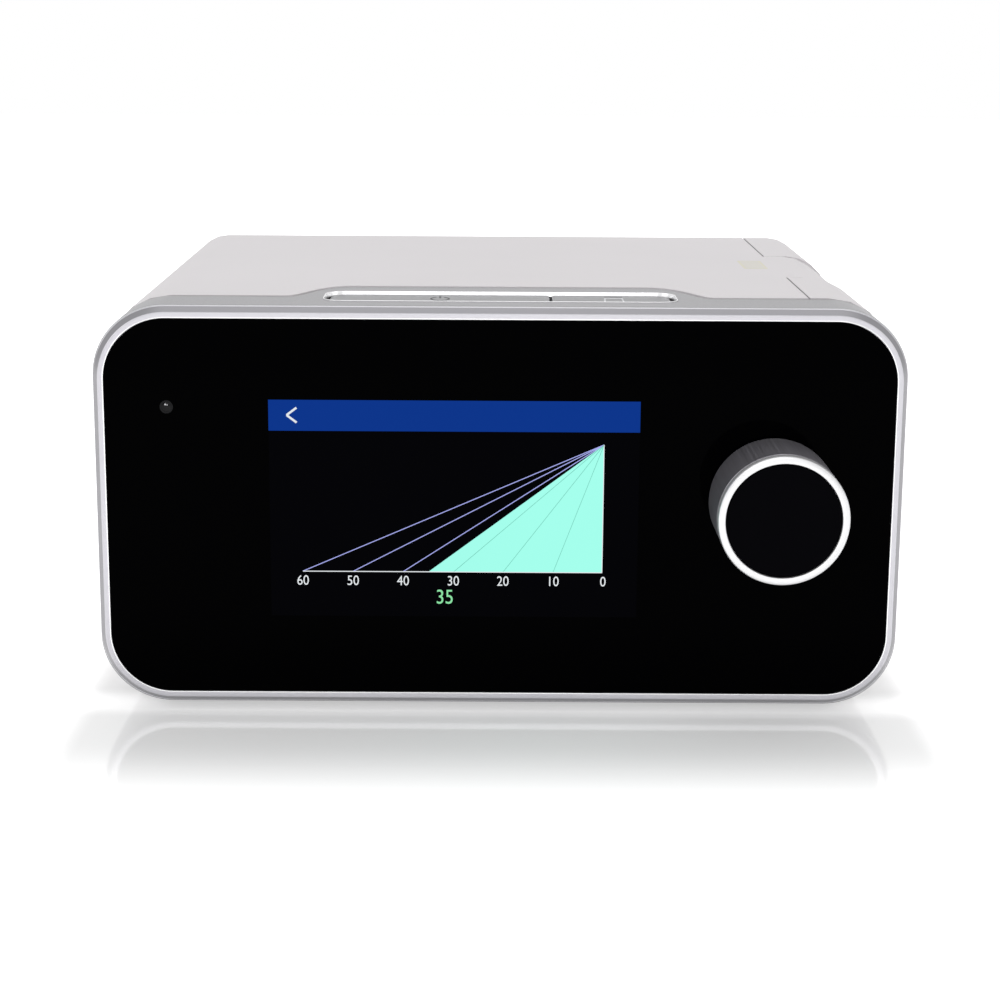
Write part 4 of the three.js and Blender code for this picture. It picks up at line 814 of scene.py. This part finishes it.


# Painted highlights: bright beads that follow the rounded opening, the seam behind the bezel and the edge of the
# glass, standing in for the light these edges catch

def nodeTree(name, inputs):
    tree = bpy.data.node_groups.new(name, "GeometryNodeTree")
    tree.interface.new_socket(name="Geometry", in_out="INPUT", socket_type="NodeSocketGeometry")
    for kind, labels in inputs:
        for label in labels:
            tree.interface.new_socket(name=label, in_out="INPUT", socket_type="NodeSocket" + kind)
    tree.interface.new_socket(name="Geometry", in_out="OUTPUT", socket_type="NodeSocketGeometry")
    return tree, tree.nodes.new("NodeGroupInput").outputs, tree.nodes.new("NodeGroupOutput")


def feed(tree, node, **values):
    # numbers or sockets for the inputs of a node, named with _ for a space
    for label, value in values.items():
        target = node.inputs[label.replace("_", " ")]
        if isinstance(value, (int, float, tuple)):
            target.default_value = value
        else:
            tree.links.new(value, target)
    return node


def chain(tree, kind, **values):
    return feed(tree, tree.nodes.new("GeometryNode" + kind), **values).outputs[0]


def closeTree(tree, source, sink, geometry):
    whole = chain(tree, "RealizeInstances", Geometry=geometry)
    painted = chain(tree, "SetMaterial", Geometry=whole, Material=source["Finish"])
    tree.links.new(painted, sink.inputs[0])


def makeBeadTree(v):
    # a wire with a leaning, rounded section along a rounded rectangle
    tree, source, sink = nodeTree("beadLoop", (
        ("Float", ("Width", "Height", "Corner", "Wire Wide", "Wire High", "Wire Lean", "Wire Round")),
        ("Int", ("Corner Steps",)), ("Vector", ("Place", "Turn")), ("Material", ("Finish",))))

    def fillet(curve, radius, count):
        node = tree.nodes.new("GeometryNodeFilletCurve")
        node.mode = "POLY"
        return feed(tree, node, Curve=curve, Radius=radius, Count=count).outputs[0]

    box = chain(tree, "CurvePrimitiveQuadrilateral", Width=source["Width"], Height=source["Height"])
    upright = tree.nodes.new("GeometryNodeSetCurveNormal")
    upright.mode = "Z_UP"
    feed(tree, upright, Curve=fillet(box, source["Corner"], source["Corner Steps"]))
    section = tree.nodes.new("GeometryNodeCurvePrimitiveQuadrilateral")
    section.mode = "TRAPEZOID"
    feed(tree, section, Bottom_Width=source["Wire Wide"], Top_Width=source["Wire Wide"], Offset=source["Wire Lean"],
         Height=source["Wire High"])
    eased = fillet(section.outputs[0], source["Wire Round"], v["sectionSteps"])
    swept = chain(tree, "CurveToMesh", Curve=upright.outputs[0], Profile_Curve=eased)
    put = chain(tree, "Transform", Geometry=swept, Translation=source["Place"], Rotation=source["Turn"])
    closeTree(tree, source, sink, put)
    return tree


def runTree(name, tree, values, points=()):
    mesh = bpy.data.meshes.new(name)
    mesh.from_pydata(list(points), [], [])
    obj = linkObject(name, mesh)
    modifier = obj.modifiers.new("build", "NODES")
    modifier.node_group = tree
    for item in tree.interface.items_tree:
        if item.in_out == "INPUT" and item.name in values:
            modifier[item.identifier] = values[item.name]
    applyModifiers(obj)
    bm = bmesh.new()
    bm.from_mesh(obj.data)
    weldOutward(bm, obj.data)
    return obj


beadTree = makeBeadTree({"sectionSteps": 4})
beadValues = {
    # each bead is a painted highlight: on the opening's lit rear wall, on the bezel's rear edge, on the glass edge
    "pillHighlightBead": {"wide": 0.26, "high": 1.3, "lean": -0.24, "round": 0.1, "steps": 24, "drop": 0.02,
                 "finish": "painted_highlight"},
    "seamHighlightBead": {"wide": 0.34, "high": 0.34, "lean": 0.0, "round": 0.15, "steps": 20, "depth": 2.35, "inset": 0.3,
                 "finish": "painted_seam_highlight"},
    "lipHighlightBead": {"wide": 0.32, "high": 0.3, "lean": 0.0, "round": 0.13, "steps": 20, "depth": 0.09, "gap": 0.15,
                "finish": "painted_highlight"},
}


def makeBead(name, wide, high, corner, y, z, turn):
    v = beadValues[name]
    bead = runTree(name, beadTree, {
        "Width": wide * mm, "Height": high * mm, "Corner": corner * mm, "Wire Wide": v["wide"] * mm,
        "Wire High": v["high"] * mm, "Wire Lean": v["lean"] * mm, "Wire Round": v["round"] * mm,
        "Corner Steps": v["steps"], "Place": (0.0, (y + glassY) * mm, z * mm), "Turn": (turn, 0.0, 0.0),
        "Finish": finishes[v["finish"]]})
    finishPiece(bead, name, "housing", "bright_bezel", finish=v["finish"])


def makeBeads(values):
    pill, seam, lip = values["pillHighlightBead"], values["seamHighlightBead"], values["lipHighlightBead"]
    makeBead("pillHighlightBead", front["barWidth"], front["barDepth"], front["barCorner"],
             front["barFront"] + front["barDepth"] / 2, top - pill["high"] / 2 - pill["drop"], 0.0)
    inset = seam["inset"] + seam["high"] / 2
    makeBead("seamHighlightBead", front["width"] - inset * 2, front["height"] - inset * 2, front["radius"] - inset,
             seam["depth"], middle, pi / 2)
    out = lip["gap"] + lip["wide"] / 2
    makeBead("lipHighlightBead", (glassHalf + out) * 2, (glassHigh + out) * 2, glassRadius + out, lip["depth"], middle, pi / 2)


# near-white and pale grey metal of the beads: painted highlights
finishes["painted_highlight"] = makeFinish("paintedHighlight", (0.95, 0.95, 0.96), 0.22, 0.6, depth=0, drift=0.02)
finishes["painted_seam_highlight"] = makeFinish("paintedSeamHighlight", (0.62, 0.62, 0.64), 0.34, 0.3, depth=0, drift=0.02)
makeBeads(beadValues)


# Buttons: sloping tops, softened rims, a slit between them

keyValues = {
    "gap": 0.35, "endGap": 1.25, "split": 13.1, "low": 3.9, "soft": 0.3, "softSteps": 3, "softLimit": 50,
    "slitCorner": 0.9, "sink": 0.8, "tilt": 3.0,
}


def buttonTop(y):
    v = keyValues
    return top - v["sink"] - (front["barFront"] + front["barDepth"] - y) * math.tan(math.radians(v["tilt"]))


def makeKey(name, body, node, x0, x1, radii, v):
    gap = v["gap"]
    plan = roundedOutline(x0, x1, front["barFront"] + gap, front["barFront"] + front["barDepth"] - gap, radii)
    cap = skin(name, [[(x, y, top - v["low"]) for x, y in plan], [(x, y, buttonTop(y)) for x, y in plan]])
    soften(cap, v["soft"], v["softSteps"], v["softLimit"])
    finishPiece(cap, name, body, "satin_frame", (node,), "key_satin")


def makeKeys(v):
    end, split, gap = front["barWidth"] / 2 - v["endGap"], v["split"], v["gap"]
    corner, small = front["barCorner"] - gap, v["slitCorner"]
    makeKey("powerKeyCap", "power_key", "power_button", -end, split - gap, (small, corner, corner, small), v)
    makeKey("menuKeyCap", "menu_key", "menu_button", split + gap, end, (corner, small, small, corner), v)


finishes["key_satin"] = makeFinish("keySatin", (0.255, 0.255, 0.265), 0.36, 0.4, depth=0.006, drift=0.03)
makeKeys(keyValues)
print("keys made")


# Case screws under the base: round heads with a crossed recess

screwValues = {
    "head": 5.6, "headHigh": 2.2, "headSides": 32, "shank": 3.0, "shankSides": 20, "crossLong": 3.2,
    "crossWide": 0.75, "crossDeep": 1.1, "seed": 4,
}


def makeScrewTree(v):
    tree, source, sink = nodeTree("crossedScrews", (
        ("Float", ("Head", "Head High", "Shank", "Length", "Cross Long", "Cross Wide", "Cross Deep")),
        ("Int", ("Seed",)), ("Material", ("Finish",))))

    def half(label):
        return mathNode(tree, "MULTIPLY", source[label], 0.5)

    def vector(**values):
        return feed(tree, tree.nodes.new("ShaderNodeCombineXYZ"), **values).outputs[0]

    head = chain(tree, "MeshCylinder", Vertices=v["headSides"], Radius=half("Head"), Depth=source["Head High"])
    carved = tree.nodes.new("GeometryNodeMeshBoolean")
    carved.operation = "DIFFERENCE"
    feed(tree, carved, Mesh_1=chain(tree, "Transform", Geometry=head, Translation=vector(Z=half("Head High"))))
    size = vector(X=source["Cross Long"], Y=source["Cross Wide"], Z=source["Cross Deep"])
    for turn in (0.0, pi / 2):
        bar = chain(tree, "Transform", Geometry=chain(tree, "MeshCube", Size=size), Rotation=(0.0, 0.0, turn))
        feed(tree, carved, Mesh_2=bar)
    shank = chain(tree, "MeshCylinder", Vertices=v["shankSides"], Radius=half("Shank"), Depth=source["Length"])
    for up in (half("Length"), source["Head High"]):
        shank = chain(tree, "Transform", Geometry=shank, Translation=vector(Z=up))
    both = tree.nodes.new("GeometryNodeJoinGeometry")
    for part in (carved.outputs["Mesh"], shank):
        feed(tree, both, Geometry=part)
    angle = tree.nodes.new("FunctionNodeRandomValue")
    angle.data_type = "FLOAT"
    for socket in angle.inputs:
        if socket.name == "Max" and socket.type == "VALUE":
            socket.default_value = pi
        if socket.name == "Seed":
            tree.links.new(source["Seed"], socket)
    turned = next(s for s in angle.outputs if s.type == "VALUE" and s.enabled)
    placed = chain(tree, "InstanceOnPoints", Points=source["Geometry"], Instance=both.outputs[0],
                   Rotation=vector(Z=turned))
    closeTree(tree, source, sink, placed)
    return tree


def fixOrder(mesh):
    # the boolean node's faces come in an order that varies between runs
    def corners(element):
        return sorted(tuple(vert.co) for vert in element.verts)

    bm = bmesh.new()
    bm.from_mesh(mesh)
    for elements, place in ((bm.verts, lambda vert: tuple(vert.co)), (bm.edges, corners), (bm.faces, corners)):
        ranks = {element: rank for rank, element in enumerate(sorted(elements, key=place))}
        elements.sort(key=lambda element: ranks[element])
    bm.to_mesh(mesh)
    bm.free()


def makeScrews(v):
    names = [n for n in nodes if n.startswith("case_screw_")]
    points, length = [], 0
    for name in names:
        low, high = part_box(name)
        points.append(((low.x + high.x) / 2, (low.y + high.y) / 2, low.z))
        length = high.z - low.z - v["headHigh"] * mm
    screws = runTree("caseScrews", makeScrewTree(v), {
        "Head": v["head"] * mm, "Head High": v["headHigh"] * mm, "Shank": v["shank"] * mm, "Length": length,
        "Cross Long": v["crossLong"] * mm, "Cross Wide": v["crossWide"] * mm, "Cross Deep": v["crossDeep"] * 2 * mm,
        "Seed": v["seed"], "Finish": finishes["steel"]}, points)
    fixOrder(screws.data)
    finishPiece(screws, "caseScrews", "housing", "steel", names)


makeScrews(screwValues)
print("beads and screws made")


# Light sensor window with a painted glint, button symbols with a painted shadow, and the small bare plate on the top

markValues = {
    "sensorX": -83.9, "sensorZ": 26.1, "sensorSteps": 48, "glintSteps": 24, "lensRise": 0.14, "glintRise": (0.03, 0.015),
    # radius, and depth or share of the rise
    "collar": ((1.15, -0.03), (1.23, -0.09), (1.525, -0.09), (1.675, -0.02), (1.675, 0.0), (1.15, 0.0)),
    "lensRadius": 1.15, "lens": ((0, 1.0), (0.35, 0.94), (0.65, 0.7), (0.88, 0.35)), "lensRim": 0.02,
    # two small pale domes in the lens, as x and z offsets and size: a painted glint
    "glints": {"sensorGlint": (-0.24, 0.62, 0.27), "sensorGlintSmall": (0.22, 0.52, 0.19)},
    "glintTop": 0.7, "glintFoot": 0.6, "lift": 0.03, "markDepth": 0.1,
    "standbyX": -15.6, "standbyY": 22.9, "standbyRadius": 2.3, "line": 0.52, "gapAngle": 26, "tick": (0.9, 3.3),
    "arcSteps": 40, "menuX": 29.4, "menuY": (18.0, 25.6), "menuWide": (5.5, 4.8), "menuLine": 0.45,
    "menuNearBar": 0.6, "menuFarBar": 1.3, "menuShade": 1.2,
    "plateX": (70.2, 77.0), "plateY": (83.5, 103.5), "plateCorner": 0.8, "plateSteps": 6, "plateEdge": 0.7,
    "plateLift": 0.02, "paperCorner": 0.6, "paperLift": 1.6,
}


def makeSensor(v):
    x, z = v["sensorX"] * mm, (middle + v["sensorZ"]) * mm
    collar = lathe("collar", v["collar"], v["sensorSteps"], x, z)
    finishPiece(collar, "sensorCollar", "housing", "dark_plastic", finish="sensor_collar")
    r, rise, foot = v["lensRadius"], v["lensRise"], -v["lensRise"] * v["glintFoot"]
    profile = [(r * across, -rise * share) for across, share in v["lens"]] + [(r, -v["lensRim"]), (r, 0.0), (0, 0.0)]
    lens = lathe("lens", profile, v["sensorSteps"], x, z)
    finishPiece(lens, "sensorLens", "housing", "black_glass", finish="sensor_lens")
    # the pale domes stand in for a lamp's reflection on the lens: a painted glint
    high, edge = v["glintRise"]
    for name, (dx, dz, size) in v["glints"].items():
        profile = [(0, -rise - high), (size * v["glintTop"], -rise - edge), (size, foot), (0, foot)]
        dome = lathe(name, profile, v["glintSteps"], x + dx * mm, z + dz * mm)
        finishPiece(dome, name, "housing", "black_glass", finish="pale_symbol_and_glint")


def planShape(name, loops, body, slot, finish, height, lift):
    # outlines in plan laid on a surface whose height is known at each point
    def place(x, y):
        depth, z = (y + glassY) * mm, height(y) + lift
        return (x * mm, depth, z * mm), (x * mm, depth, (z - markValues["markDepth"]) * mm)

    finishPiece(slabs(name, loops, place), name, body, slot, finish=finish)


def arcBand(cx, cy, radius, width, start, end, steps):
    angles = [math.radians(start + (end - start) * i / steps) for i in range(steps + 1)]
    far, near = radius + width / 2, radius - width / 2
    outer = [(cx + far * math.cos(a), cy + far * math.sin(a)) for a in angles]
    return outer + [(cx + near * math.cos(a), cy + near * math.sin(a)) for a in reversed(angles)]


def makeMarks(v):
    x, y, line, lift, gap = v["standbyX"], v["standbyY"], v["line"], v["lift"], v["gapAngle"]
    near, far = v["tick"]
    ring = arcBand(x, y, v["standbyRadius"], line, 90 + gap, 450 - gap, v["arcSteps"])
    tick = rectangle(x - line / 2, x + line / 2, y + near, y + far)
    planShape("standbySymbol", [ring, tick], "power_key", "satin_frame", "dark_symbol_and_shade", buttonTop, lift)
    x, w = v["menuX"], v["menuLine"]
    y0, y1 = v["menuY"]
    wide0, wide1 = v["menuWide"]

    def between(near, far, side=0):
        # the part of the tapering outline from near to far, across it or along one side
        ends = [(y, (wide0 + (wide1 - wide0) * (y - y0) / (y1 - y0)) / 2) for y in (near, far)]
        if not side:
            return [(x - ends[0][1], near), (x + ends[0][1], near), (x + ends[1][1], far), (x - ends[1][1], far)]
        return [(x + side * half, y) for y, half in ends] + [(x + side * (half - w), y) for y, half in reversed(ends)]

    near, far = y0 + v["menuNearBar"], y1 - v["menuFarBar"]
    outline = [between(y0, near), between(far, y1), between(near, far, -1), between(near, far, 1)]
    planShape("menuSymbol", outline, "menu_key", "satin_frame", "pale_symbol_and_glint", buttonTop, lift)
    # a dark band just behind the symbol's far bar: painted shadow
    shade = [between(y1, y1 + v["menuShade"])]
    planShape("menuShade", shade, "menu_key", "satin_frame", "dark_symbol_and_shade", buttonTop, lift)
    (x0, x1), (y0, y1), corner, lift = v["plateX"], v["plateY"], v["plateCorner"], v["plateLift"]
    for name, finish, edge, radius, up in (
            ("topPlateEdge", "cream_paper", 0, corner, lift),
            ("topPlate", "pale_paper", v["plateEdge"], corner * v["paperCorner"], lift * v["paperLift"])):
        plan = roundedOutline(x0 + edge, x1 - edge, y0 + edge, y1 - edge, [radius] * 4, v["plateSteps"])
        planShape(name, [plan], "housing", "shell_white", finish, lambda y: top, up)


finishes["sensor_lens"] = makeFinish("sensorLens", (0.002, 0.002, 0.003), 0.05, depth=0, drift=0.2, specular=0.12)
finishes["sensor_collar"] = makeFinish("sensorCollar", (0.006, 0.006, 0.007), 0.4, drift=0.2, specular=0.1)
# dark grey of the standby symbol, also of the menu symbol's painted shadow
finishes["dark_symbol_and_shade"] = makeFinish("darkSymbolAndShade", (0.03, 0.03, 0.034), 0.5, drift=0.1)
# pale colour of the menu symbol, also of the lens's painted glint
finishes["pale_symbol_and_glint"] = makeFinish("paleSymbolAndGlint", (0.66, 0.66, 0.68), 0.45, drift=0.06)
finishes["cream_paper"] = makeFinish("creamPaper", (0.76, 0.73, 0.6), 0.55, drift=0.03)
finishes["pale_paper"] = makeFinish("palePaper", (0.745, 0.72, 0.665), 0.55, drift=0.03)
makeSensor(markValues)
makeMarks(markValues)
print("sensor, symbols and plate made")
